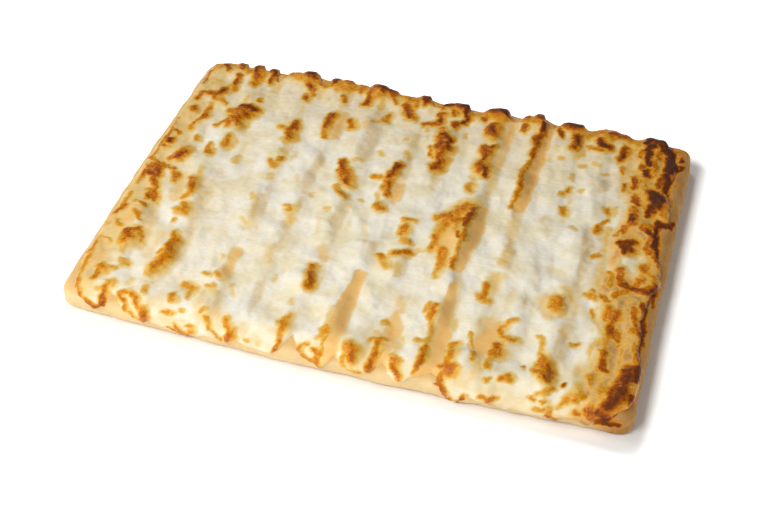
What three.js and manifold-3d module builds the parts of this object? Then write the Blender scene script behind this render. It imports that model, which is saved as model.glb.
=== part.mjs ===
// Cheese focaccia: a flat oblong bread with finger-pressed ridges, under a sheet of melted cheese
// that runs over its shoulders in lobes and leaves some flanks of the ridges bare.
// Millimetres, +Z up. X runs along the bread, Y across it, and the origin is under the middle of the loaf.
import * as THREE from "three";
import { mergeGeometries, mergeVertices } from "three/addons/utils/BufferGeometryUtils.js";
import Module from "manifold-3d";

// Driving dimensions of the bread.
const LENGTH = 300;
const WIDTH = 209;
const CRUST_HEIGHT = 17;
const CORNER_RADIUS = 12;
const SHOULDER_RADIUS = 7;
const HEEL_RADIUS = 1.5;
const FRONT_BOW = 3.5;
// How square each corner is in plan: 2 is a quarter circle, more is squarer.
const SQUARENESS = { backLeft: 2.4, backRight: 4, frontRight: 3.6, frontLeft: 3.6 };

// The ridges, each from the back edge to the front edge: its x at the back, at the front, and its height.
const RIDGES = [
  { back: -128, front: -128, height: 2.4 },
  { back: -114, front: -104, height: 3.2 },
  { back: -84, front: -68, height: 2.6 },
  { back: -60, front: -52, height: 2.6 },
  { back: -38, front: -27, height: 3.0 },
  { back: -10, front: -4, height: 2.8 },
  { back: 13, front: 10, height: 2.6 },
  { back: 38, front: 45, height: 3.4 },
  { back: 60, front: 66, height: 2.8 },
  { back: 82, front: 80, height: 2.4 },
  { back: 101, front: 104, height: 2.6 },
  { back: 128, front: 128, height: 2.2 },
];
const VALLEY_DEPTH = 1.6;
const VALLEY_RAMP = 14;
const RIDGE_LEFT_SLOPE = 8.5;
const RIDGE_RIGHT_SLOPE = 5.5;
// Each ridge swells and sinks along its length, out of step with its neighbours.
const RIDGE_SWELL = 0.25;
const RIDGE_SWELL_PITCH = 62;
const RIDGE_SWELL_STEP = 2.1;

// The one high blister of dough, right of the middle.
const BLISTER = { x: 40, y: -8, halfLength: 27, left: 16, right: 9, height: 4 };

// The cheese: how thick it is on top and down the side, its ripple, and the clearance under it.
const CHEESE = 1.9;
const CHEESE_SIDE = 1.1;
const RIPPLE = { height: 0.35, lengthX: 60, lengthY: 78, driftLength: 107, drift: 1.7 };
const RIM_THINNING = 0.6;
const LOBE_BEAD = { back: 1.3, front: 0.4 };
const GAP = 0.3;

// How much of the crust's side stays bare below the cheese, measured along the surface from the heel.
const BARE = { back: 11, front: 11.5, left: 17.5, right: 17.5 };
const LOBE_REACH = { back: 3, front: 5 };
const LOBE_WIDTH = 6.5;
const RIGHT_LOBES = [
  { y: 82, reach: 3 },
  { y: 44, reach: 5 },
  { y: -12, reach: 8 },
  { y: -82, reach: 6 },
];
const RIGHT_LOBE_WIDTH = 10;
const CORNER_BARE = { backLeft: 3, backRight: 9, frontRight: 9, frontLeft: 7 };
const CORNER_BARE_WIDTH = 13;

// Bare flanks, where the dough shows between the cheese: centre, length along Y, width and turn in degrees.
const BARE_FLANKS = [
  { x: 66, y: 52, length: 92, width: 5.5, turn: 2 },
  { x: 46, y: 72, length: 46, width: 5, turn: 0 },
  { x: 48, y: -10, length: 42, width: 7, turn: 0 },
  { x: 48, y: -76, length: 44, width: 6, turn: 4 },
  { x: -3, y: -74, length: 42, width: 7, turn: 0 },
  { x: -52, y: 60, length: 26, width: 8, turn: 0 },
  { x: -70, y: -66, length: 26, width: 6, turn: 6 },
  { x: -1, y: 14, length: 20, width: 6, turn: 0 },
  { x: 70, y: -82, length: 18, width: 7, turn: 0 },
  { x: 118, y: 82, length: 30, width: 5, turn: 0 },
];

// Facets: cells under the cheese along and across the loaf, rings of cells on the bare side, and how
// strongly the cells near the cheese's edge follow it.
const CELLS_X = 56;
const CELLS_Y = 26;
const SIDE_RINGS = 4;
const EDGE_PULL = 6;
const RIM_PULL = 52;
const SLOT_ARC_SEGMENTS = 5;
const MERGE_DISTANCE = 1e-3;

// Sizes that follow. The crust's surface is thought of as a sheet laid flat: a core rectangle, and
// round it a border that bends over the shoulder, down the side and round the heel.
const CORE_X = LENGTH / 2 - CORNER_RADIUS;
const CORE_Y = WIDTH / 2 - CORNER_RADIUS;
const FLAT_BORDER = CORNER_RADIUS - SHOULDER_RADIUS;
const SHOULDER_ARC = (SHOULDER_RADIUS * Math.PI) / 2;
const SIDE_DROP = CRUST_HEIGHT - SHOULDER_RADIUS - HEEL_RADIUS;
const HEEL_ARC = (HEEL_RADIUS * Math.PI) / 2;
const BORDER = FLAT_BORDER + SHOULDER_ARC + SIDE_DROP + HEEL_ARC;
const SHEET_X = CORE_X + BORDER;
const SHEET_Y = CORE_Y + BORDER;

const { lerp, clamp, smoothstep, degToRad } = THREE.MathUtils;
const bell = (distance, width) => Math.exp(-((distance / width) ** 2));
const wave = (distance, length, phase = 0) => Math.sin((2 * Math.PI * distance) / length + phase);

// The crust's edge in section, by the length along it from where the shoulder starts:
// how far out it is, how far down, and how far its face has turned from upwards.
function sideProfile(along) {
  if (along <= 0) {
    return { out: along, down: 0, tilt: 0 };
  }
  if (along < SHOULDER_ARC) {
    const tilt = along / SHOULDER_RADIUS;
    return {
      out: SHOULDER_RADIUS * Math.sin(tilt),
      down: SHOULDER_RADIUS * (1 - Math.cos(tilt)),
      tilt,
    };
  }
  const side = along - SHOULDER_ARC;
  if (side < SIDE_DROP) {
    return { out: SHOULDER_RADIUS, down: SHOULDER_RADIUS + side, tilt: Math.PI / 2 };
  }
  const turn = Math.min((side - SIDE_DROP) / HEEL_RADIUS, Math.PI / 2);
  return {
    out: SHOULDER_RADIUS - HEEL_RADIUS * (1 - Math.cos(turn)),
    down: SHOULDER_RADIUS + SIDE_DROP + HEEL_RADIUS * Math.sin(turn),
    tilt: Math.PI / 2 + turn,
  };
}

// The pressed relief of the dough at a place in plan: valleys lower than the rim, ridges, one high blister.
function reliefAt(x, y) {
  const fromRim = Math.min(LENGTH / 2 - Math.abs(x), WIDTH / 2 - Math.abs(y)) - SHOULDER_RADIUS;
  let height = -VALLEY_DEPTH * smoothstep(fromRim, 0, VALLEY_RAMP);
  RIDGES.forEach((ridge, index) => {
    const offset = x - lerp(ridge.front, ridge.back, (y / WIDTH) + 0.5);
    const slope = offset < 0 ? RIDGE_LEFT_SLOPE : RIDGE_RIGHT_SLOPE;
    const swell = 1 + RIDGE_SWELL * wave(y, RIDGE_SWELL_PITCH, index * RIDGE_SWELL_STEP);
    height += ridge.height * swell * bell(offset, slope);
  });
  const across = x - BLISTER.x;
  const blisterSlope = across < 0 ? BLISTER.left : BLISTER.right;
  return height + BLISTER.height * bell(across, blisterSlope) * bell(y - BLISTER.y, BLISTER.halfLength);
}

// A place on the crust, and the way it faces before the ridges are pressed.
function crustAt(sheetX, sheetY) {
  let beyondX = Math.max(Math.abs(sheetX) - CORE_X, 0);
  let beyondY = Math.max(Math.abs(sheetY) - CORE_Y, 0);
  const squareX = beyondX / BORDER;
  const squareY = beyondY / BORDER;
  // The square corner of the sheet is drawn in to a quarter disc, so that the loaf's corner is round.
  beyondX *= Math.sqrt(1 - (squareY * squareY) / 2);
  beyondY *= Math.sqrt(1 - (squareX * squareX) / 2);
  const reach = Math.hypot(beyondX, beyondY);
  const alongX = reach > 0 ? beyondX / reach : 0;
  const alongY = reach > 0 ? beyondY / reach : 0;
  const power = SQUARENESS[(sheetY > 0 ? "back" : "front") + (sheetX > 0 ? "Right" : "Left")];
  const stretch = reach > 0 ? (alongX ** power + alongY ** power) ** (-1 / power) : 0;
  const side = sideProfile(reach - FLAT_BORDER);
  const outwards = stretch * (FLAT_BORDER + side.out);
  const x = Math.sign(sheetX) * (Math.min(Math.abs(sheetX), CORE_X) + alongX * outwards);
  const y = Math.sign(sheetY) * (Math.min(Math.abs(sheetY), CORE_Y) + alongY * outwards);
  const bow = FRONT_BOW * (1 - (2 * x / LENGTH) ** 2) * smoothstep(-y, 0, WIDTH / 2);
  const facing = new THREE.Vector2(
    Math.sign(sheetX) * alongX ** (power - 1),
    Math.sign(sheetY) * alongY ** (power - 1),
  ).normalize();
  const normal = new THREE.Vector3(
    facing.x * Math.sin(side.tilt),
    facing.y * Math.sin(side.tilt),
    Math.cos(side.tilt),
  );
  const fade = 1 - smoothstep(reach, FLAT_BORDER, FLAT_BORDER + SHOULDER_ARC);
  const point = new THREE.Vector3(x, y - bow, CRUST_HEIGHT - side.down);
  return { point: point.addScaledVector(normal, reliefAt(x, y) * fade), normal };
}

// Where each edge of the cheese lies on the flat sheet, by the place along that edge.
function lobesAt(x, end) {
  return RIDGES.reduce((sum, ridge) => sum + bell(x - ridge[end], LOBE_WIDTH), 0);
}

function cornerBareAt(place, low, high, half) {
  return low * bell(place + half, CORNER_BARE_WIDTH) + high * bell(place - half, CORNER_BARE_WIDTH);
}

function backEdge(x) {
  const corner = cornerBareAt(x, CORNER_BARE.backLeft, CORNER_BARE.backRight, LENGTH / 2);
  return SHEET_Y - BARE.back - corner + LOBE_REACH.back * lobesAt(x, "back");
}

function frontEdge(x) {
  const corner = cornerBareAt(x, CORNER_BARE.frontLeft, CORNER_BARE.frontRight, LENGTH / 2);
  return BARE.front + corner - SHEET_Y - LOBE_REACH.front * lobesAt(x, "front");
}

function rightEdge(y) {
  const corner = cornerBareAt(y, CORNER_BARE.frontRight, CORNER_BARE.backRight, WIDTH / 2);
  const lobes = RIGHT_LOBES.reduce(
    (sum, lobe) => sum + lobe.reach * bell(y - lobe.y, RIGHT_LOBE_WIDTH),
    0,
  );
  return SHEET_X - BARE.right - corner + lobes;
}

function leftEdge(y) {
  const corner = cornerBareAt(y, CORNER_BARE.frontLeft, CORNER_BARE.backLeft, WIDTH / 2);
  return BARE.left + corner - SHEET_X;
}

// The shared facet grid, counted in cells from the cheese's back left corner. Cells from 0 to CELLS lie
// under the cheese. Those outside are the rings on the crust's bare side.
const EVEN_X = SHEET_X - BARE.left;
const EVEN_Y = SHEET_Y - BARE.back;

function sheetPlace(cellX, cellY) {
  const shareX = clamp((2 * cellX) / CELLS_X - 1, -1, 1);
  const shareY = clamp(1 - (2 * cellY) / CELLS_Y, -1, 1);
  const evenX = shareX * EVEN_X;
  const evenY = shareY * EVEN_Y;
  const edgeX = shareX < 0 ? leftEdge(evenY) : rightEdge(evenY);
  const edgeY = shareY < 0 ? frontEdge(evenX) : backEdge(evenX);
  const cheeseX = evenX + (edgeX - Math.sign(shareX) * EVEN_X) * Math.abs(shareX) ** EDGE_PULL;
  const cheeseY = evenY + (edgeY - Math.sign(shareY) * EVEN_Y) * Math.abs(shareY) ** EDGE_PULL;
  const ringX = Math.max(-cellX, cellX - CELLS_X, 0) / SIDE_RINGS;
  const ringY = Math.max(-cellY, cellY - CELLS_Y, 0) / SIDE_RINGS;
  return {
    x: lerp(cheeseX, Math.sign(shareX) * SHEET_X, ringX),
    y: lerp(cheeseY, Math.sign(shareY) * SHEET_Y, ringY),
    edge: Math.max(Math.abs(shareX), Math.abs(shareY)),
  };
}

// The melted layer: rippled on top, thinner down the side and at its rim, beaded where a lobe hangs.
function cheeseThickness(place) {
  const drift = RIPPLE.drift * wave(place.y, RIPPLE.driftLength);
  const ripple = wave(place.x, RIPPLE.lengthX, drift) * wave(place.y, RIPPLE.lengthY);
  const beyond = Math.max(Math.abs(place.x) - CORE_X, Math.abs(place.y) - CORE_Y);
  const over = smoothstep(beyond, FLAT_BORDER, FLAT_BORDER + SHOULDER_ARC);
  const end = place.y > 0 ? "back" : "front";
  const nearEnd = bell(Math.abs(place.y) - CORE_Y - FLAT_BORDER - SHOULDER_RADIUS, SHOULDER_RADIUS);
  const bead = LOBE_BEAD[end] * Math.min(lobesAt(place.x, end), 1) * nearEnd;
  const thickness = lerp(CHEESE + RIPPLE.height * ripple, CHEESE_SIDE, over) + bead;
  return thickness * (1 - RIM_THINNING * place.edge ** RIM_PULL);
}

function crustVertex(cellX, cellY) {
  const place = sheetPlace(cellX, cellY);
  return crustAt(place.x, place.y).point;
}

function cheeseVertex(cellX, cellY, lift) {
  const place = sheetPlace(cellX, cellY);
  const { point, normal } = crustAt(place.x, place.y);
  return point.addScaledVector(normal, GAP + lift * cheeseThickness(place));
}

// Turns the cells' diagonals so that at each corner of a sheet they run out to the corner.
function turnDiagonals(sheet, cellsX, cellsY) {
  const index = sheet.index.array;
  for (let cell = 0; cell < cellsX * cellsY; cell += 1) {
    const onLeft = cell % cellsX < cellsX / 2;
    const atBack = Math.floor(cell / cellsX) < cellsY / 2;
    if (onLeft === atBack) {
      const [backLeft, frontLeft, backRight, , frontRight] = index.slice(6 * cell, 6 * cell + 6);
      index.set([backLeft, frontLeft, frontRight, backLeft, frontRight, backRight], 6 * cell);
    }
  }
}

// A plane of cells whose corners are moved by a rule, facing up or down.
function gridSheet(firstX, firstY, cellsX, cellsY, vertexAt, facesDown = false) {
  const sheet = new THREE.PlaneGeometry(cellsX, cellsY, cellsX, cellsY);
  const corners = sheet.getAttribute("position");
  for (let i = 0; i < corners.count; i += 1) {
    const cellX = firstX + Math.round(corners.getX(i) + cellsX / 2);
    const cellY = firstY + Math.round(cellsY / 2 - corners.getY(i));
    const { x, y, z } = vertexAt(cellX, cellY);
    corners.setXYZ(i, x, y, z);
  }
  turnDiagonals(sheet, cellsX, cellsY);
  if (facesDown) {
    sheet.index.array.reverse();
  }
  return sheet;
}

// The cells along a grid's rim, once round, seen from above against the clock.
function rimCells(firstX, firstY, cellsX, cellsY) {
  const rim = [];
  for (let i = 0; i < cellsX; i += 1) {
    rim.push([firstX + i, firstY + cellsY]);
  }
  for (let i = 0; i < cellsY; i += 1) {
    rim.push([firstX + cellsX, firstY + cellsY - i]);
  }
  for (let i = 0; i < cellsX; i += 1) {
    rim.push([firstX + cellsX - i, firstY]);
  }
  for (let i = 0; i < cellsY; i += 1) {
    rim.push([firstX, firstY + i]);
  }
  return rim;
}

// Joins sheets that share their rims into one closed skin.
function closedSkin(sheets) {
  sheets.forEach((sheet) => {
    sheet.deleteAttribute("normal");
    sheet.deleteAttribute("uv");
  });
  return mergeVertices(mergeGeometries(sheets), MERGE_DISTANCE);
}

// The bread: its crust from heel to heel, closed by a flat sole.
function breadSkin() {
  const cellsX = CELLS_X + 2 * SIDE_RINGS;
  const cellsY = CELLS_Y + 2 * SIDE_RINGS;
  const crust = gridSheet(-SIDE_RINGS, -SIDE_RINGS, cellsX, cellsY, crustVertex);
  const rim = rimCells(-SIDE_RINGS, -SIDE_RINGS, cellsX, cellsY);
  const sole = new THREE.CircleGeometry(1, rim.length);
  const corners = sole.getAttribute("position");
  for (let i = 1; i < corners.count; i += 1) {
    const { x, y } = crustVertex(...rim[(i - 1) % rim.length]);
    corners.setXYZ(i, x, y, 0);
  }
  sole.index.array.reverse();
  return closedSkin([crust, sole]);
}

// The cheese before it is cut: an upper and a lower sheet over the same cells, and the rim between them.
function cheeseSkin() {
  const upper = gridSheet(0, 0, CELLS_X, CELLS_Y, (x, y) => cheeseVertex(x, y, 1));
  const lower = gridSheet(0, 0, CELLS_X, CELLS_Y, (x, y) => cheeseVertex(x, y, 0), true);
  const rim = rimCells(0, 0, CELLS_X, CELLS_Y);
  const wall = gridSheet(0, 0, rim.length, 1, (step, low) =>
    cheeseVertex(...rim[step % rim.length], 1 - low),
  );
  return closedSkin([upper, lower, wall]);
}

// A round-ended slot, upright, from half the crust's height to well over the cheese.
function flankSlot({ x, y, length, width, turn }) {
  const half = width / 2;
  const straight = length / 2 - half;
  const outline = new THREE.Shape();
  outline.absarc(0, straight, half, 0, Math.PI, false);
  outline.absarc(0, -straight, half, Math.PI, 2 * Math.PI, false);
  const depth = 2 * CRUST_HEIGHT;
  const slot = new THREE.ExtrudeGeometry(outline, {
    depth,
    bevelEnabled: false,
    curveSegments: SLOT_ARC_SEGMENTS,
  });
  slot.rotateZ(degToRad(turn));
  slot.translate(x, y, CRUST_HEIGHT / 2);
  return slot;
}

const wasm = await Module();
wasm.setup();

function toSolid(geometry) {
  const bare = geometry.clone();
  bare.deleteAttribute("normal");
  bare.deleteAttribute("uv");
  const merged = mergeVertices(bare, MERGE_DISTANCE);
  return new wasm.Manifold(
    new wasm.Mesh({
      numProp: 3,
      vertProperties: new Float32Array(merged.getAttribute("position").array),
      triVerts: new Uint32Array(merged.index.array),
    }),
  );
}

function toGeometry(solid) {
  const mesh = solid.getMesh();
  const geometry = new THREE.BufferGeometry();
  geometry.setAttribute("position", new THREE.BufferAttribute(mesh.vertProperties, 3));
  geometry.setIndex(new THREE.BufferAttribute(mesh.triVerts, 1));
  geometry.computeVertexNormals();
  return geometry;
}

function cheeseWithBareFlanks() {
  const cut = BARE_FLANKS.reduce(
    (cheese, flank) => cheese.subtract(toSolid(flankSlot(flank))),
    toSolid(cheeseSkin()),
  );
  return toGeometry(cut);
}

const crustMaterial = new THREE.MeshStandardMaterial({ color: 0xd9a566, roughness: 0.75, metalness: 0 });
const cheeseMaterial = new THREE.MeshStandardMaterial({ color: 0xefe6cc, roughness: 0.4, metalness: 0 });

const bread = new THREE.Mesh(breadSkin(), crustMaterial);
bread.name = "bread";
const cheese = new THREE.Mesh(cheeseWithBareFlanks(), cheeseMaterial);
cheese.name = "cheese";

// The loaf stands with the middle of its outer box over the origin.
const focaccia = new THREE.Group();
focaccia.add(bread, cheese);
const middle = new THREE.Box3().setFromObject(focaccia).getCenter(new THREE.Vector3());
focaccia.position.set(-middle.x, -middle.y, 0);

export default focaccia;
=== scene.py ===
"""Looks of a cheese focaccia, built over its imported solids.

Lengths are millimetres until a mesh is made, when MM turns them into metres. A place on the loaf is
given in one of two ways. On the sheet, (u, v) runs over the crust as if it were rolled out flat. In
plan, (x, y) is the place seen along the line of sight on the level of the rim, so that a mark on the
front side has a place of its own too. A span is a pair of numbers between which something changes.
"""

from __future__ import annotations

import logging
import math
from dataclasses import dataclass
from enum import Enum

import bmesh
import bpy
import numpy as np
from mathutils import Matrix, Vector, noise

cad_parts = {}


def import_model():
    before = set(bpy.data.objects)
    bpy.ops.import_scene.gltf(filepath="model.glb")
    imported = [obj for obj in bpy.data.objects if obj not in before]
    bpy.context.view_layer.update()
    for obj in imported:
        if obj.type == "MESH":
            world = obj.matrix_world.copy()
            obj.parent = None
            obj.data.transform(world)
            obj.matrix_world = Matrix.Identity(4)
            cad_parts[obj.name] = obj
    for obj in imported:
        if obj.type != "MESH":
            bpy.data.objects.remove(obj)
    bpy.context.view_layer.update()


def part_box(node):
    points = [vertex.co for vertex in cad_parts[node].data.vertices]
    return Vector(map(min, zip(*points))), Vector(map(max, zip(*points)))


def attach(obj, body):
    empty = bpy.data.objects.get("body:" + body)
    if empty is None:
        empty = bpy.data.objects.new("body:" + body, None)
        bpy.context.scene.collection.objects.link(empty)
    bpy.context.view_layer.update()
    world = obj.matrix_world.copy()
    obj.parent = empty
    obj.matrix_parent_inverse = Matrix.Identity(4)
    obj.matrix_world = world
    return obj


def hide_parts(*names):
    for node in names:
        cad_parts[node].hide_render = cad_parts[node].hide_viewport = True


MM = 0.001
BODY = "root"
CRUST_HEIGHT = 17.0
TINY = 1e-9

Pair = tuple[float, float]
Triple = tuple[float, float, float]
Socket = bpy.types.NodeSocket

log = logging.getLogger("focaccia")


def smoothstep(value: np.ndarray, low: float | np.ndarray, high: float | np.ndarray) -> np.ndarray:
    """Smooth rise from 0 at low to 1 at high."""
    share = np.clip((value - low) / (high - low), 0.0, 1.0)
    return share * share * (3.0 - 2.0 * share)


def bell(distance: np.ndarray, width: float | np.ndarray) -> np.ndarray:
    """Bell curve of height 1 about zero."""
    return np.exp(-((distance / width) ** 2))


@dataclass(frozen=True)
class Grain:
    """Smooth noise about zero over a surface, in lumps of one size with finer ones on them.

    The size is given in both directions, the seed sets one noise apart from another, and the octaves
    are layers of ever finer lumps.
    """

    across: float
    along: float
    seed: float
    octaves: int = 2
    height: float = 1.0
    fall: float = 1.0
    finer: float = 2.0

    def at(self, x: np.ndarray, y: np.ndarray) -> np.ndarray:
        """The noise at places.

        Args:
            x: First coordinate of each place.
            y: Second coordinate of each place.

        Returns:
            One value for each place, mostly within the height.
        """
        spots = [Vector((a / self.across, b / self.along, self.seed)) for a, b in zip(x.tolist(), y.tolist())]
        return self.height * np.array([noise.fractal(s, self.fall, self.finer, self.octaves) for s in spots])


def edge_through(points: tuple[Pair, ...], along: np.ndarray) -> np.ndarray:
    """Height of a wavy edge that passes through points, rounded at each of them.

    Args:
        points: Pairs of a place along the edge and the edge's height there, in rising order.
        along: Places to read.

    Returns:
        The edge's height at each place.
    """
    places = np.array([place for place, _ in points])
    heights = np.array([height for _, height in points])
    index = np.clip(np.searchsorted(places, along) - 1, 0, len(places) - 2)
    share = smoothstep((along - places[index]) / (places[index + 1] - places[index]), 0.0, 1.0)
    return heights[index] + (heights[index + 1] - heights[index]) * share


class Shade(Enum):
    """How far the oven has browned a mark."""

    FAINT = 0.12
    STRAW = 0.2
    GOLD = 0.36
    AMBER = 0.45
    BROWN = 0.54
    DARK = 0.68
    BURNT = 0.78
    CHAR = 0.92


@dataclass(frozen=True)
class Stroke:
    """A round-ended stroke in plan: both ends, and the width at each end."""

    x0: float
    y0: float
    x1: float
    y1: float
    start_width: float
    end_width: float

    @property
    def half(self) -> float:
        """Half of its mean width."""
        return (self.start_width + self.end_width) / 4

    @property
    def run(self) -> Pair:
        """How far it runs in x and in y."""
        return self.x1 - self.x0, self.y1 - self.y0

    def share(self, x: np.ndarray, y: np.ndarray) -> np.ndarray:
        """How far along the stroke each place is, from 0 to 1."""
        run_x, run_y = self.run
        square = max(run_x * run_x + run_y * run_y, TINY)
        return np.clip(((x - self.x0) * run_x + (y - self.y0) * run_y) / square, 0.0, 1.0)

    def offset(self, x: np.ndarray, y: np.ndarray) -> np.ndarray:
        """How far to the right of the stroke's axis each place is."""
        return x - self.x0 - self.share(x, y) * self.run[0]

    def gap(self, x: np.ndarray, y: np.ndarray) -> np.ndarray:
        """Distance from the stroke's edge, negative inside it.

        Args:
            x: Plan x of each place.
            y: Plan y of each place.

        Returns:
            One distance for each place.
        """
        run_x, run_y = self.run
        share = self.share(x, y)
        away = np.hypot(x - self.x0 - share * run_x, y - self.y0 - share * run_y)
        return away - (self.start_width + share * (self.end_width - self.start_width)) / 2


@dataclass(frozen=True)
class Ridge:
    """A finger-pressed ridge from the back edge to the front edge, by its x at both."""

    back: float
    front: float
    height: float


@dataclass(frozen=True)
class Knuckle:
    """A single swelling of the dough, steeper on its right."""

    x: float
    y: float
    half_width: float
    half_length: float
    height: float
    left_share: float = 1.25
    right_share: float = 0.8

    def rise(self, x: np.ndarray, y: np.ndarray) -> np.ndarray:
        """Height of the swelling at places in plan."""
        across = x - self.x
        slope = np.where(across < 0, self.left_share * self.half_width, self.right_share * self.half_width)
        return self.height * bell(across, slope) * bell(y - self.y, self.half_length)


@dataclass(frozen=True)
class Knob:
    """A bead of cheese that has bubbled up on the back edge."""

    x: float
    width: float
    height: float
    shade: Shade


@dataclass
class Patch:
    """A piece of the crust's surface, sampled at many places at once."""

    u: np.ndarray
    v: np.ndarray
    points: np.ndarray
    normals: np.ndarray
    plan_x: np.ndarray
    plan_y: np.ndarray
    relief: np.ndarray

    @property
    def below_rim(self) -> np.ndarray:
        """How far each place is below the level of the rim."""
        return CRUST_HEIGHT - self.points[:, 2]


@dataclass(frozen=True)
class Sight:
    """The line of sight along which the marks were read, and the level they were read on."""

    azimuth: float = 17.16
    elevation: float = 43.96
    level: float = CRUST_HEIGHT
    shift: Pair = (0.49, -1.65)

    def plan(self, points: np.ndarray) -> tuple[np.ndarray, np.ndarray]:
        """Plan place of points on the loaf.

        Args:
            points: One row for each point, from the loaf's middle.

        Returns:
            The plan x and the plan y of each point.
        """
        below = (self.level - points[:, 2]) / math.tan(math.radians(self.elevation))
        turn = math.radians(self.azimuth)
        x = points[:, 0] + below * math.sin(turn) + self.shift[0]
        y = points[:, 1] - below * math.cos(turn) + self.shift[1]
        return x, y


# Ridges from the left to the right: x at the back, x at the front, and height.
RIDGES = (
    (-128, -128, 2.9), (-114, -104, 3.8), (-84, -68, 3.1), (-60, -52, 3.1), (-38, -27, 3.6), (-10, -4, 3.4),
    (13, 10, 3.1), (38, 45, 4.1), (60, 66, 3.4), (82, 80, 2.9), (101, 104, 3.1), (128, 128, 2.6),
)

# Swellings of the dough: place in plan, half width, half length and height.
KNUCKLES = (
    (-129, 69, 6, 8, 1.3), (-109, 54, 8, 8, 1.7), (-78, 50, 7, 11, 1.5), (-57, 60, 7, 15, 1.8),
    (-131, 8, 6, 8, 1.4), (-113, -13, 6, 9, 1.2), (-109, -33, 7, 8, 1.4), (-138, -8, 6, 9, 1.3),
    (-128, -62, 7, 11, 1.7), (-103, -68, 7, 15, 1.6), (-77, 20, 7, 8, 0.9), (-32, 17, 7, 12, 1.5),
    (-9, 16, 7, 13, 1.9), (11, 64, 7, 14, 1.8), (38, 76, 8, 14, 1.5), (38, 50, 8, 9, 1.5),
    (12, -12, 6, 9, 1.1), (-26, -64, 6, 12, 1.3), (-6, -74, 7, 20, 1.0), (42, -80, 7, 22, 1.2),
    (62, 62, 5, 34, 1.2), (100, -45, 8, 9, 1.3), (103, -88, 7, 12, 1.6), (78, -84, 7, 10, 1.3),
    (136, 50, 7, 9, 1.0), (128, 8, 7, 8, 1.1), (10, -101, 6, 8, 1.0), (99, 88, 7, 7, 1.0),
    (86, 86, 6, 9, 0.9), (114, 80, 6, 11, 0.9), (129, -70, 6, 14, 0.9),
)


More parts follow.
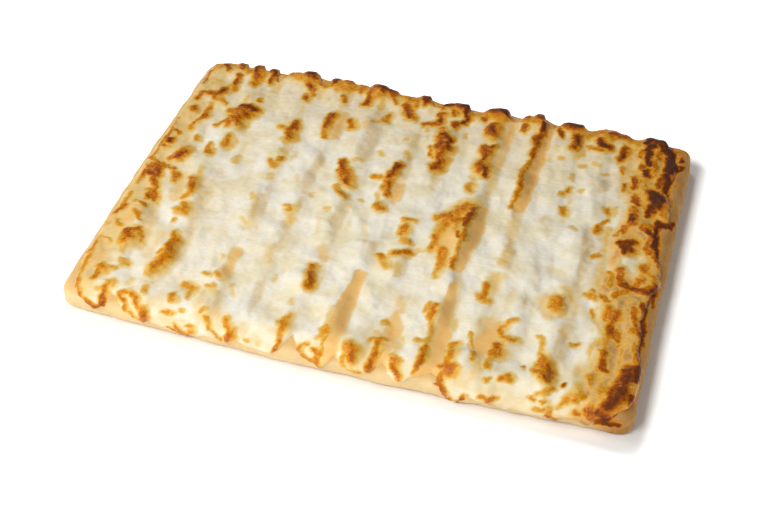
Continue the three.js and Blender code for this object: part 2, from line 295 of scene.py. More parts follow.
@dataclass(frozen=True)
class Loaf:
    """The slab's form: a sheet that bends over a round shoulder, down the side and round the heel."""

    length: float
    width: float
    middle: Pair
    corner_radius: float = 12.0
    shoulder_radius: float = 7.0
    heel_radius: float = 3.6
    front_bow: float = 3.5
    left_bow: float = 1.8
    back_bow: float = 2.2
    back_bow_at: float = -66.0
    back_bow_half: float = 34.0
    tongue_share: float = 0.5
    tongue_fade: float = 3.0
    sole_fade: Pair = (4.0, 1.0)
    squareness: tuple[float, float, float, float] = (2.4, 4.0, 3.6, 5.0)
    valley_depth: float = 2.1
    valley_ramp: float = 14.0
    left_slope: float = 8.5
    right_slope: float = 7.0
    swell: float = 0.25
    swell_pitch: float = 62.0
    swell_step: float = 2.1
    faintest: float = 0.35
    strong_span: Pair = (-0.35, 0.4)
    blister_at: Pair = (40.0, -8.0)
    blister_half_length: float = 27.0
    blister_left: float = 16.0
    blister_right: float = 9.0
    blister_height: float = 4.0
    press: Grain = Grain(30, 24, 14.9)
    crumb: Grain = Grain(7, 9, 3.1, 3, 0.22)
    ragged: Grain = Grain(15, 15, 71.3, 3, 0.9)
    skin: float = 1.9
    sight: Sight = Sight()

    @classmethod
    def from_frame(cls) -> Loaf:
        """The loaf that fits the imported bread."""
        low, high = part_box("bread")
        length = (high.x - low.x) / MM
        width = (high.y - low.y) / MM - cls.front_bow
        middle = ((high.x + low.x) / 2 / MM, high.y / MM - width / 2)
        return cls(length, width, middle)

    @property
    def core(self) -> Pair:
        """Half sizes of the sheet's core, inside its border."""
        return self.length / 2 - self.corner_radius, self.width / 2 - self.corner_radius

    @property
    def flat_border(self) -> float:
        """Width of the border that is still level."""
        return self.corner_radius - self.shoulder_radius

    @property
    def shoulder_arc(self) -> float:
        """Length of the shoulder along the surface."""
        return self.shoulder_radius * math.pi / 2

    @property
    def side_drop(self) -> float:
        """Height of the upright part of the side."""
        return CRUST_HEIGHT - self.shoulder_radius - self.heel_radius

    @property
    def border(self) -> float:
        """Width of the whole border along the surface."""
        return self.flat_border + self.shoulder_arc + self.side_drop + self.heel_radius * math.pi / 2

    @property
    def sheet(self) -> Pair:
        """Half sizes of the whole sheet."""
        return self.core[0] + self.border, self.core[1] + self.border

    def side(self, along: np.ndarray) -> tuple[np.ndarray, np.ndarray, np.ndarray]:
        """The crust's edge in section.

        Args:
            along: Length along the surface from where the shoulder starts.

        Returns:
            How far out the surface is, how far down, and how far it has turned from facing up.
        """
        shoulder = np.clip(along, 0.0, self.shoulder_arc) / self.shoulder_radius
        straight = np.clip(along - self.shoulder_arc, 0.0, self.side_drop)
        heel = np.clip(along - self.shoulder_arc - self.side_drop, 0.0, None) / self.heel_radius
        heel = np.minimum(heel, math.pi / 2)
        out = np.minimum(along, 0.0) + self.shoulder_radius * np.sin(shoulder)
        out = out - self.heel_radius * (1.0 - np.cos(heel))
        down = self.shoulder_radius * (1.0 - np.cos(shoulder)) + straight + self.heel_radius * np.sin(heel)
        return out, down, shoulder + heel

    def pressed(self, x: np.ndarray, y: np.ndarray) -> np.ndarray:
        """Height of the pressed dough over the level of the rim.

        Args:
            x: Place along the loaf.
            y: Place across the loaf.

        Returns:
            The relief at each place.
        """
        from_end = self.length / 2 - np.abs(x)
        from_rim = np.minimum(from_end, self.width / 2 - np.abs(y)) - self.shoulder_radius
        height = -self.valley_depth * smoothstep(from_rim, 0.0, self.valley_ramp)
        strong = smoothstep(self.press.at(x, y), *self.strong_span)
        strength = self.faintest + (1.0 - self.faintest) * strong
        for index, row in enumerate(RIDGES):
            ridge = Ridge(*row)
            offset = x - (ridge.front + (ridge.back - ridge.front) * (y / self.width + 0.5))
            slope = np.where(offset < 0, self.left_slope, self.right_slope)
            beat = 2 * math.pi * y / self.swell_pitch + index * self.swell_step
            height = height + strength * ridge.height * (1 + self.swell * np.sin(beat)) * bell(offset, slope)
        for row in KNUCKLES:
            height = height + Knuckle(*row).rise(x, y)
        across = x - self.blister_at[0]
        slope = np.where(across < 0, self.blister_left, self.blister_right)
        lengthwise = bell(y - self.blister_at[1], self.blister_half_length)
        return height + self.blister_height * bell(across, slope) * lengthwise

    def patch(self, u: np.ndarray, v: np.ndarray) -> Patch:
        """The crust's surface at places on the sheet.

        Args:
            u: Place along the sheet.
            v: Place across the sheet.

        Returns:
            The surface there, with the ridges pressed into it.
        """
        core_x, core_y = self.core
        beyond_x = np.maximum(np.abs(u) - core_x, 0.0)
        beyond_y = np.maximum(np.abs(v) - core_y, 0.0)
        square_x = beyond_x / self.border
        square_y = beyond_y / self.border
        beyond_x = beyond_x * np.sqrt(1.0 - square_y**2 / 2)
        beyond_y = beyond_y * np.sqrt(1.0 - square_x**2 / 2)
        reach = np.hypot(beyond_x, beyond_y)
        safe = np.maximum(reach, TINY)
        along_x = beyond_x / safe
        along_y = beyond_y / safe
        back_left, back_right, front_right, front_left = self.squareness
        power = np.where(
            v > 0,
            np.where(u > 0, back_right, back_left),
            np.where(u > 0, front_right, front_left),
        )
        stretch = np.maximum(along_x**power + along_y**power, TINY) ** (-1.0 / power)
        out, down, tilt = self.side(reach - self.flat_border)
        outwards = np.where(reach > 0, stretch * (self.flat_border + out), 0.0)
        x = np.sign(u) * (np.minimum(np.abs(u), core_x) + along_x * outwards)
        y = np.sign(v) * (np.minimum(np.abs(v), core_y) + along_y * outwards)
        bow = self.front_bow * (1.0 - (2 * x / self.length) ** 2) * smoothstep(-y, 0.0, self.width / 2)
        dent = bell(x - self.back_bow_at, self.back_bow_half)
        bow = bow - self.back_bow * dent * smoothstep(y, 0.0, self.width / 2)
        left = self.left_bow * (1.0 - (2 * y / self.width) ** 2) * smoothstep(-x, 0.0, self.length / 2)
        facing_x = np.sign(u) * along_x ** (power - 1)
        facing_y = np.sign(v) * along_y ** (power - 1)
        facing = np.maximum(np.hypot(facing_x, facing_y), TINY)
        normals = np.stack(
            [facing_x / facing * np.sin(tilt), facing_y / facing * np.sin(tilt), np.cos(tilt)], axis=1
        )
        over = smoothstep(reach, self.flat_border, self.flat_border + self.shoulder_arc)
        on_shoulder = self.flat_border + self.shoulder_arc / 2
        tongue = 1.0 - smoothstep(reach, on_shoulder, self.border - self.tongue_fade)
        tongue = self.tongue_share * tongue * smoothstep(-v, core_y, core_y + self.tongue_fade)
        level = 1.0 - smoothstep(reach, *(self.border - fade for fade in self.sole_fade))
        relief = self.pressed(x, y) * np.maximum(1.0 - over, tongue)
        rough = self.crumb.at(u, v) * level
        ragged = self.ragged.at(u, v) * over
        points = np.stack([x - left, y - bow, CRUST_HEIGHT - down], axis=1)
        points = points + normals * (relief + rough)[:, None]
        points[:, 0] += ragged * facing_x / facing
        points[:, 1] += ragged * facing_y / facing
        plan_x, plan_y = self.sight.plan(points + normals * self.skin)
        return Patch(u, v, points, normals, plan_x, plan_y, relief)

    def place(self, points: np.ndarray) -> np.ndarray:
        """Points in the part's frame, in metres."""
        return (points + np.array([self.middle[0], self.middle[1], 0.0])) * MM


# Toasted marks by shade, as strokes in plan: both ends, and the width at each end.
MARKS = {
    Shade.FAINT: (
        # Left half, from the back to the front.
        (-66, 84, -66, 82, 2, 2), (-79, 72, -79, 60, 2, 2), (-131, 18, -131, 14, 4, 4),
        (-68, 29, -68, 22, 4, 5), (-97, 29, -97, 22, 3, 4), (-81, 25, -79, 17, 5, 5),
        (-60, 12, -59, 6, 3, 3), (-82, 5, -79, 3, 3, 3), (-112, -46, -111, -50, 2, 2),
        (-90, -44, -90, -46, 2, 2), (-123, -80, -122, -84, 5, 5), (-49, -62, -48, -74, 5, 5),
        (-39, -87, -39, -90, 3, 3), (-23, -86, -23, -88, 3, 3), (-76, -36, -74, -39, 3, 3),
        # Right half, from the back to the front.
        (-5, 66, -5, 54, 4, 4), (1, 67, 1, 64, 3, 3), (75, 79, 75, 76, 4, 4), (72, 70, 73, 66, 2, 2),
        (-36, -18, -34, -30, 3, 4), (-20, -18, -19, -24, 3, 3), (-12, -14, -11, -22, 5, 4),
        (14, 34, 16, 20, 4, 3), (-8, -24, -7, -30, 3, 3), (2, -44, 14, -46, 10, 8),
        (47, -44, 47, -50, 4, 5), (69, -34, 73, -33, 7, 5), (62, -34, 66, -40, 3, 6),
        (79, 14, 81, 18, 3, 3), (91, 42, 90, 18, 4, 3), (114, -64, 114, -67, 3, 3),
        (92, -22, 98, -19, 3, 2), (77, -40, 76, -58, 4, 5), (90, -46, 89, -56, 2, 2),
        # Front edge, from the left to the right.
        (101, -97, 100, -102, 4, 4),
    ),
    Shade.STRAW: (
        # Left half.
        (-137, 81, -133, 81, 2, 2), (-139, 77, -137, 77, 2.5, 2), (-113, 71, -113, 68, 4, 4),
        (-79, 39, -75, 37, 4, 3), (-57, 73, -57, 71, 2, 2), (-142, 9, -142, 7, 3, 3),
        (-107, 30, -104, 29, 3, 3), (-98, 17, -98, 11, 4, 4), (-76, 29, -74, 28, 3, 2.5),
        (-75, 8, -75, 5, 3.5, 3.5), (-113, 1, -112, -5, 3.5, 4), (-78, -10, -75, -14, 3, 4),
        (-77, -31, -72, -34, 2.5, 3), (-138, -61, -138, -62, 2, 2), (-137, -84, -135, -84, 2.5, 2),
        (-114, -91, -114, -95, 2.5, 2.5), (-106, -90, -103, -90, 1.5, 1.5), (-62, -81, -61, -86, 3, 3),
        (-73, -86, -68, -88, 2.5, 3), (-74, -89, -74, -91, 2, 2), (-76, -61, -75, -63, 2.5, 2.5),
        (-44, -68, -43, -70, 1.5, 1.5), (-57, -15, -51, -14, 4, 4), (-52, -17, -50, -28, 5, 3),
        # Middle.
        (-34, 88, -33, 83, 2.5, 2.5), (-33, 70, -30, 71, 2.5, 2.5), (-10, 60, -9, 60, 2.5, 2),
        (-22, 46, -20, 43, 3, 2.5), (-7, 49, -4, 45, 3, 2.5), (-1, 73, -1, 71, 2, 2),
        (22, 75, 22, 71, 2, 2), (35, 39, 35, 36, 3, 3), (-33, 34, -29, 34, 3, 2.5),
        (-37, -10, -35, -10, 2, 2), (-20, 1, -19, 1, 2, 2), (-12, 9, -11, 2, 3, 3),
        (18, -30, 25, -27, 1.5, 1.2), (15, -41, 16, -50, 4, 2.5), (-29, -82, -29, -85, 2.5, 2),
        (-8, -80, -8, -92, 2, 2), (20, -91, 18, -91, 2, 2), (32, -91, 33, -92, 1.5, 1.5),
        (34, 16, 39, 17, 4, 4), (-47, -2, -46, -2, 1, 1),
        # Right.
        (78, 69, 80, 70, 2.5, 2.5), (91, 66, 93, 67, 2, 2), (97, 71, 101, 70, 1.5, 1.5),
        (104, 62, 107, 63, 2, 2.5), (88, 57, 88, 53, 2.5, 2.5), (95, 46, 95, 45, 2, 2),
        (90, 80, 90, 77, 1.5, 1.5), (87, 75, 87, 73, 2, 2), (113, 36, 110, 34, 2, 2),
        (117, 37, 117, 31, 1, 1), (96, 15, 99, 12, 2.5, 2), (65, -22, 69, -23, 4, 3),
        (68, -15, 70, -14, 3, 2.5), (103, -33, 108, -40, 3, 3), (120, -49, 124, -55, 2, 2),
        (86, -74, 86, -76, 3, 3), (126, -76, 126, -84, 4, 4), (54, -70, 54, -76, 1.5, 2),
        (132, -35, 136, -38, 1.5, 1.5), (122, 70, 134, 70, 8, 8), (122, 90, 133, 90, 10, 10),
        (132, 80, 124, 80, 10, 10), (131, 62, 127, 62, 6, 6), (66, -36, 66, -46, 8, 6),
        (36, 13, 33, 2, 6, 15), (33, 0, 36, -36, 15, 6), (133, -40, 140, -44, 8, 8),
        (136, -52, 142, -66, 8, 8), (136, -72, 134, -94, 8, 8), (116, 18, 117, 2, 4, 3),
        (118, -12, 119, -26, 4, 4),
        # Front edge, from the left to the right.
        (-36, -114.5, -35.5, -116, 3.4, 3), (2, -97, 2, -101, 2.5, 2.5), (31, -95, 31, -99, 3, 2),
    ),
    Shade.GOLD: (
        (38, 16, 30, 4, 7, 10), (29, -2, 29, -18, 7, 5), (35, 10, 36, -8, 9, 6),
        # Back left.
        (-124, 78, -123, 74, 2.5, 2), (-114, 86, -114, 83, 5, 4), (-79, 89, -76, 84, 3, 2),
        (-68, 98, -68, 96, 3, 2.5), (-58, 88, -57, 83, 3, 2.5), (-105, 69, -104, 69, 2.5, 2.5),
        (-130, 64, -124, 60, 4, 2), (-132, 58, -131, 49, 2.5, 4), (-134, 36, -134, 34, 3, 2.5),
        (-118, 44, -121, 39, 2, 2), (-83, 50, -79, 48, 4, 4), (-59, 55, -57, 48, 4, 3),
        (-96, 104, -90, 105, 3, 3), (-147, 101, -143, 99, 2, 2),
        # Front left.
        (-127, 27, -127, 25, 2.5, 2.5), (-118, 23, -117, 18, 2, 3), (-110, 33, -109, 28, 3, 3),
        (-109, 26, -109, 24, 5.5, 5), (-75, 23, -75, 21, 3.5, 3), (-79, 19, -76, 16, 3, 4),
        (-144, 40, -144, 4, 1, 1), (-143, -15, -143, -21, 2, 1.5), (-112, -20, -114, -25, 3, 3),
        (-114, -35, -107, -35, 3, 3), (-143, -30, -144, -39, 2, 1.5), (-138, -36, -138, -36, 2.5, 2),
        (-112, -42, -112, -44, 2.5, 2), (-145, -56, -145, -57, 2.5, 2), (-147, -50, -147, -66, 1.2, 1.2),
        (-129, -68, -129, -73, 6, 3), (-107, -66, -108, -70, 3, 3), (-104, -82, -107, -83, 6, 6),
        (-143, -67, -137, -68, 1, 1), (-142, -91, -140, -101, 2, 1.5), (-126, -79, -122, -83, 2.5, 4),
        (-128, -87, -125, -87, 3, 2), (-82, -91, -81, -95, 3, 2), (-79, -77, -77, -77, 3, 2.5),
        (-73, -75, -71, -77, 2.5, 2.5), (-74, -84, -72, -85, 2.5, 2), (-55, -17, -57, -15, 2, 2),
        # Middle.
        (-50, 99, -50, 95, 4, 3), (-28, 97, -26, 90, 3, 2), (-27, 79, -28, 73, 4.5, 4),
        (-22, 100, -20, 92, 3, 3), (-16, 97, -14, 92, 4, 3), (-9, 96, -9, 93, 3, 2), (2, 98, 3, 94, 2, 2),
        (6, 76, 7, 71, 4.5, 5), (5, 57, 8, 49, 1.6, 2), (-35, 8, -29, 2, 3.5, 3),
        (-18, 23, -12, 23, 2.5, 3), (-12, 22, -11, 14, 2.5, 2.5), (30, 98, 37, 98, 3, 3),
        (9, -7, 13, -6, 4, 3.5), (12, -22, 17, -24, 3.5, 2.5), (41, -12, 42, -26, 2.2, 2.2),
        (30, -20, 34, -24, 4, 6), (35, -34, 35, -43, 4, 3), (29, -5, 29, -9, 2.5, 1.5),
        (5, -38, 9, -43, 5, 3.5), (21, -82, 22, -84, 3.5, 2.5), (42, -74, 44, -84, 3, 1.6),
        (44, -84, 44, -91, 1.4, 2), (40, -89, 46, -88, 3.5, 4), (39, -63, 39, -69, 2, 2.5),
        (35, 31, 35, 28, 4, 4.5),
        # Right.
        (62, 64, 61, 50, 3.2, 4), (61, 34, 61, 20, 1.8, 1.4), (93, 84, 100, 83, 3.5, 4),
        (77, 100, 86, 100, 4, 4), (95, 102, 98, 100, 4, 4), (101, 99, 104, 98, 3, 3),
        (114, 71, 115, 66, 3, 2), (141, 42, 142, 36, 6, 5), (88, 46, 88, 42, 2, 2.5),
        (86, 39, 85, 39, 3, 2.5), (113, 34, 113, 31, 3, 3.5), (114, 26, 111, 21, 1.4, 2),
        (122, 19, 121, 15, 1.6, 1.6), (88, 27, 89, 24, 4, 3.5), (111, -5, 115, -2, 1.6, 2.4),
        (132, 26, 138, 27, 2, 2.5), (142, -10, 147, -12, 2, 2.5), (122, -15, 124, -23, 2, 2.5),
        (147, -14, 150, -20, 3, 2.5), (112, -34, 117, -35, 2.5, 4), (116, -31, 116, -34, 2, 2.5),
        (60, -51, 65, -52, 3.5, 3.5), (118, -45, 119, -48, 2.5, 2), (133, -58, 134, -63, 2, 1.2),
        (128, -61, 129, -70, 2, 2.5), (141, -50, 140, -54, 4, 4), (143, -62, 143, -66, 3.5, 3),
        (112, -70, 115, -69, 2, 2.5), (97, -69, 100, -77, 2.5, 1.5), (77, -69, 79, -66, 3, 3),
        (80, -65, 82, -63, 3, 2.5), (77, -90, 75, -95, 4, 2.5), (63, -76, 66, -84, 1.6, 1.8),
        (125, -100, 124, -101, 2.5, 2.5), (132, -93, 134, -101, 6, 4), (146, -88, 147, -91, 4, 4),
        (124, 94, 122, 84, 2, 2), (130, 82, 131, 74, 3, 3), (132, 96, 132, 84, 4, 3),
        (138, 61, 141, 57, 4, 3), (146, -41, 146, -50, 2, 2),
        # Front edge, from the left to the right.
        (-129, -103, -125, -102, 2, 3), (-105, -94, -103, -98, 2, 2.4), (-81, -105, -80, -104, 2.4, 2),
        (-42, -114, -41.3, -116, 1.4, 1.4), (-5, -99, -4.5, -112, 1.2, 1.2),
        (6.7, -114.7, 11, -119.5, 1.6, 1.6), (31, -102, 36, -104, 2.4, 1.6),
        (83, -119.5, 85, -119, 1.6, 1.6), (117.7, -105.8, 120.6, -101, 5, 4.4),
        (-122, -96, -121, -99, 2.5, 2), (25, -101, 25, -105, 1.4, 1.2), (123, -98, 123, -104, 1.4, 1.4),
    ),
    Shade.AMBER: (
        (40, 16, 34, 9, 5, 8), (31, 4, 30, -3, 4, 4), (28, -14, 28, -24, 3, 4),
        # Back left.
        (-141, 65, -141, 59, 3, 2.5), (-133, 68, -141, 67, 4, 3), (-131, 48, -134, 37, 4, 2),
        (-118, 55, -110, 52, 6, 7), (-114, 48, -109, 45, 7, 7), (-116, 45, -115, 41, 4, 2.5),
        (-78, 46, -75, 41, 5, 5), (-80, 82, -80, 80, 5, 4.5), (-82, 94, -78, 89, 4, 5),
        (-61, 104, -58, 103, 3, 3.5), (-78, 56, -76, 50, 4, 5.5),
        # Front left.
        (-141, 28, -139, 26, 3, 2.5), (-116, 16, -115, 15, 4.5, 4), (-141, 13, -140, 13, 3.5, 3),
        (-134, 5, -135, 3, 3.5, 3), (-125, -8, -125, -14, 4.5, 2.5), (-111, -29, -109, -34, 3.5, 5),
        (-134, -36, -131, -37, 2.5, 2), (-134, -43, -131, -44, 3, 3.5), (-131, -44, -128, -48, 2, 1.2),
        (-141, -52, -138, -55, 3, 4.5), (-126, -57, -122, -65, 5, 2.5), (-143, -82, -142, -92, 3, 2.5),
        (-86, -88, -81, -89, 5, 5), (-136, -25, -133, -26, 3, 4), (-148, 2, -129, -4, 1.2, 1.2),
        (-128, -4, -129, -4, 2, 2),
        # Middle.
        (-47, 66, -45, 62, 5, 4.5), (-44, 100, -43, 94, 3, 3), (9, 94, 10, 91, 3.5, 3.5),
        (2, 80, -5, 77, 4, 3), (27, 92, 27, 90, 3, 3), (-10, 1, -8, -2, 5, 5), (10, -13, 10, -17, 5, 3.5),
        (3, -37, 6, -37, 2.5, 3), (34, -24, 36, -34, 5, 4), (24, 0, 30, 5, 4, 5),
        (41, 3, 42, -12, 2.5, 2.5),
        # Right.
        (61, 47, 61, 30, 3.2, 2.6), (53, 93, 53, 85, 2.2, 2.2), (117, 57, 118, 53, 2.4, 2),
        (125, 39, 125, 37, 2.4, 2), (139, -4, 139, -9, 4.5, 4), (138, -14, 137, -19, 3.5, 3),
        (132, -26, 128, -29, 3.5, 4), (122, -33, 124, -35, 3.5, 3.5), (98, -41, 100, -48, 5, 7),
        (126, -39, 127, -46, 3.5, 6), (83, -75, 85, -75, 4.5, 4), (57, -87, 57, -94, 4, 4.5),
        (126, -88, 127, -91, 4, 3), (67, -88, 68, -93, 2, 1.2), (63, -41, 63, -50, 1.8, 3.6),
        (110, 19, 109, 15, 3, 3.6), (138, 18, 139, 6, 2, 2), (146, -68, 146, -74, 4, 4),
        (77, -70, 80, -75, 2.6, 2.6), (124, 23, 124, 19, 3.6, 3), (123, 76, 124, 73, 3, 3),
        # Front edge, from the left to the right.
        (-125, -101, -124.5, -97, 5, 4.5), (-134, -97.5, -132.4, -93, 2, 2.6),
        (-103, -117, -98.5, -118.5, 1.6, 1.6), (-112.5, -100.5, -109, -102, 2.4, 3),
        (-72, -102.8, -69, -99.6, 1.6, 2.4), (-89, -97, -87, -99, 3, 3),
        (-72.5, -121.5, -71, -118, 1.8, 1.6), (-74, -115, -72.5, -115, 2.4, 2.4),
        (-66.5, -105, -64, -110, 2.2, 2), (-64, -110, -62, -114, 1.6, 1.4),
        (-62, -114, -58.5, -118, 1.4, 1.6), (-57, -103.5, -54.5, -106.5, 2.4, 2.4),
        (-27, -93, -28.4, -98.5, 4, 6), (-7, -92.6, -7, -96, 3.4, 5), (-7, -96, -8, -101, 5, 3.4),
        (-15.5, -110, -12.4, -107, 1.6, 1.8), (-14.5, -114.5, -12.5, -116.5, 2, 1.8),
        (-12.5, -116.5, -9.8, -119.5, 1.8, 2), (-5.4, -119, -4.8, -113, 1.8, 1.6),
        (7.5, -109, 6.5, -114.5, 2, 1.8), (11.2, -119.5, 18.5, -119.5, 1.6, 1.8),
        (17.2, -95.5, 23, -94.2, 3.4, 4), (56, -93, 57, -96, 4.6, 4), (76, -92.6, 75.2, -95.5, 3.4, 2.6),
        (78, -103.4, 78.2, -104.8, 2.6, 2.4), (102.8, -105.5, 106, -103.5, 2, 2.4),
        (106, -103.5, 110.4, -99.8, 2.2, 2), (101, -110, 102, -110.2, 1.8, 1.8),
        (105, -116.4, 109.5, -115, 1.8, 1.8), (112, -112.5, 113, -118, 2.4, 2.8),
        (115.4, -109.5, 117.7, -105.8, 2.4, 3.4), (120.7, -100.7, 121, -104, 1.6, 1.8),
        (125, -99.5, 124.6, -101.5, 2.4, 2.4),
    ),
    Shade.BROWN: (
        # Back left.
        (-137, 99, -134, 92, 3.5, 2.5), (-127, 101, -127, 97, 3.5, 3), (-127, 90, -124, 80, 2.5, 2.5),
        (-117, 102, -115, 89, 6.5, 6), (-106, 99, -105, 87, 4, 2), (-86, 101, -79, 100, 3.5, 4),
        (-81, 93, -79, 91, 3.5, 3.5), (-145, 88, -145, 77, 2.2, 1.8), (-129, 73, -131, 65, 6, 4.5),
        (-140, 51, -139, 49, 4, 3.5), (-113, 58, -107, 54, 5, 6), (-112, 49, -110, 47, 5, 5),
        (-59, 69, -59, 57, 4, 4.2), (-77, 53, -79, 47, 3, 3),
        # Front left.
        (-130, 14, -131, 8, 3.5, 7), (-142, -3, -135, -4, 2.5, 2.5), (-142, -6, -143, -15, 4, 2),
        (-136, -14, -132, -22, 3, 3), (-132, -23, -131, -28, 3, 5), (-129, -27, -128, -32, 3, 2),
        (-115, -9, -113, -14, 5, 5.5), (-112, -14, -112, -19, 4.5, 2.5), (-142, -41, -142, -42, 4, 4),
        (-143, -43, -145, -48, 2.4, 1.4), (-130, -60, -130, -67, 8, 7), (-107, -54, -105, -58, 3.5, 5),
        (-104, -58, -103, -59, 5, 4.5), (-105, -61, -103, -70, 4.5, 5.5), (-104, -72, -107, -80, 6, 7),
        (-144, -69, -145, -78, 2, 3.6), (-134, -88, -131, -89, 5, 5), (-134, -92, -132, -97, 3, 1.6),
        # Middle.
        (-42, 91, -44, 84, 4, 4.2), (-20, 90, -14, 80, 5, 5), (-38, 100, -36, 99, 3, 3),
        (-31, 100, -29, 98, 3, 2.6), (3, 88, 4, 82, 4.4, 4), (14, 82, 14, 78, 4.4, 2.6),
        (8, 67, 9, 58, 4, 4), (12, 64, 15, 58, 6, 5), (11, 58, 12, 50, 5, 4), (13, 48, 13, 41, 6, 6),
        (35, 89, 36, 79, 6, 7.5), (35, 67, 40, 69, 4, 3), (36, 65, 37, 56, 6.5, 4.5),
        (36, 52, 37, 46, 7, 9), (-37, 23, -33, 16, 5.5, 6), (-31, 14, -29, 12, 6, 4),
        (-9, 22, -7, 11, 3, 2.4), (30, 5, 34, 1, 4, 6), (34, 2, 40, 2, 4, 3), (41, -28, 43, -34, 3.2, 2.6),
        (10, -33, 17, -31, 3.4, 3.4), (-28, -55, -25, -70, 4.4, 6), (42, -62, 41, -72, 1.8, 3.4),
        (44, -92, 44, -107, 2, 3.6), (12, 41, 12, 39, 7, 5),
        # Right.
        (63, 88, 61, 80, 4, 4), (62, 80, 62, 66, 3.6, 2.8), (73, 96, 75, 89, 2, 1.6),
        (84, 92, 83, 80, 5.4, 5), (113, 90, 111, 78, 4, 5), (101, 101, 114, 101, 3, 3.4),
        (122, 64, 123, 56, 2.6, 2.6), (126, 48, 126, 44, 2.6, 2.6), (125, 34, 126, 27, 3, 3),
        (131, 24, 136, 23, 2, 3), (142, 4, 147, -3, 2, 1.8), (126, -11, 129, -22, 2, 2.6),
        (101, -40, 101, -44, 3.4, 3.4), (130, -41, 130, -48, 4, 4), (129, -51, 129, -58, 3, 5),
        (132, -55, 132, -60, 2, 2), (129, -70, 130, -82, 3.6, 2.6), (138, -37, 141, -47, 2, 2),
        (100, -80, 102, -87, 2.4, 6.5), (99, -91, 106, -93, 4, 5), (78, -80, 77, -86, 4, 6),
        (79, -84, 79, -87, 5, 5), (125, -112, 126, -114, 2.4, 2.4), (129, -106, 131, -112, 4, 6),
        (134, -105, 140, -106, 4, 4), (143, -49, 146, -55, 3, 3), (136, -98, 136, -103, 4, 3),
        (138, 72, 136, 62, 4, 5),
        # Front edge, from the left to the right.
        (-141, -98, -138.5, -106, 1.6, 1.8), (-138.5, -106, -135.5, -110.5, 1.8, 1.8),
        (-135.5, -110.5, -131, -114.5, 1.8, 2), (-124, -106, -125.5, -101, 3.4, 4),
        (-116, -103, -112, -108.5, 1.6, 1.8), (-112, -108.5, -108, -114.5, 1.6, 1.8),
        (-108, -114.5, -103, -117, 1.8, 2), (-116, -103, -112.5, -100.5, 1.8, 2),
        (-109, -102, -105.5, -106.5, 3, 3.6), (-105.5, -106.5, -102.5, -109, 3.4, 2.6),
        (-89.5, -108.5, -86, -108.8, 2.2, 2.8), (-83, -120, -76, -122, 1.6, 2),
        (-76.5, -122, -72.5, -121.5, 2.4, 2.2), (-80.5, -116, -77.7, -120, 1.4, 1.6),
        (-58.5, -118.5, -55, -120, 2, 2), (-54.5, -106.5, -52, -110, 2.4, 2.4),
        (-52, -110, -51, -114, 2.2, 2.6), (-28.4, -98.5, -28.4, -103.6, 4.6, 3.4),
        (-28, -104, -26.7, -110, 2.6, 1.8), (-26.7, -110, -26.7, -116, 1.8, 2.2),
        (-15.7, -110.5, -14.5, -114.5, 2.6, 2.8), (-9.8, -119.5, -5.4, -119, 2, 2),
        (-8, -109.5, -5, -112.5, 2, 2.4), (-4.5, -119, -1.5, -123, 2.4, 2.6),
        (8.5, -102, 10.5, -107.5, 6.5, 7.5), (21, -97.5, 21.6, -104, 3.8, 3.6),
        (32, -104.5, 33.5, -110, 4, 3.2), (36, -115, 38, -119.5, 1.8, 1.4),
        (44.9, -93, 44.2, -101, 3.6, 4.2), (43.6, -107, 42.9, -112, 2.2, 1.2), (57, -100, 60.5, -100, 4, 4),
        (54, -101.5, 54.5, -102.5, 2.4, 2.4), (56.5, -106, 56.9, -111, 1.8, 2),
        (85, -100.6, 88, -100.2, 3, 3.4), (79, -116, 82, -117.4, 2.2, 3), (103.4, -92.6, 106, -96, 7, 5.4),
        (107, -109.5, 107.6, -109.6, 1.8, 1.8), (114, -119.8, 117, -121, 1.6, 2),
    ),
    Shade.DARK: (
        (139, 88, 140, 64, 4, 4), (131, 98, 136, 92, 4, 5),
        (-130, 104, -126, 103, 3.4, 3.4), (-118, 101, -117, 97, 4, 4), (-108, 103, -106, 98, 3.6, 3),
        (-88, 105, -80, 104, 2.6, 3), (-68, 103, -67, 100, 4, 3), (-129, 72, -129, 69, 3, 3),
        (-112, 61, -105, 60, 3.6, 6), (-141, 20, -141, 18, 3.4, 3), (-129, 10, -131, 6, 5, 4.5),
        (-138, -7, -136, -12, 5, 3.6), (-141, -9, -139, -12, 3, 3), (-133, -28, -132, -30, 3, 3),
        (-128, -55, -132, -59, 2.4, 3), (-131, -60, -129, -63, 5, 4), (-40, 103, -29, 103, 3.4, 3.4),
        (-10, 103, -9, 98, 5, 4), (3, 99, 10, 103, 2.2, 3.2), (16, 99, 18, 90, 4.4, 3.6),
        (18, 89, 17, 84, 3.4, 3), (4, 85, 4, 83, 2.4, 2.4), (9, 70, 14, 66, 3.6, 4.4),
        (13, 63, 15, 60, 3.6, 3), (13, 47, 13, 45, 2.4, 2.4), (35, 85, 36, 81, 4, 4),
        (39, 47, 41, 42, 3.4, 2.6), (37, 58, 37, 55, 3, 3), (-39, 29, -37, 25, 3.6, 2.4),
        (-32, 15, -30, 13, 3, 3), (-8, 36, -10, 24, 4, 3.4), (42, 14, 40, 4, 2.4, 3),
        (41, 2, 41, -1, 2.4, 2), (38, -8, 39, -10, 1.6, 1.6), (-27, -61, -25, -68, 2.4, 3),
        (63, 98, 63, 91, 4, 3.4), (84, 90, 84, 84, 3, 3), (96, 93, 99, 88, 3.2, 4),
        (99, 88, 103, 87, 4, 3.4), (113, 85, 113, 82, 2.6, 2.6), (126, 90, 127, 78, 1.6, 2),
        (126, 72, 128, 69, 3.6, 3), (135, 43, 133, 36, 5, 3.4), (125, 33, 126, 29, 1.8, 2),
        (124, 9, 130, 13, 3.4, 4), (127, 9, 129, 6, 5, 4), (125, 6, 126, 2, 3, 1.6),
        (136, 22, 139, 20, 3, 3), (130, -21, 140, -23, 3.4, 3), (140, -23, 147, -22, 3.4, 5),
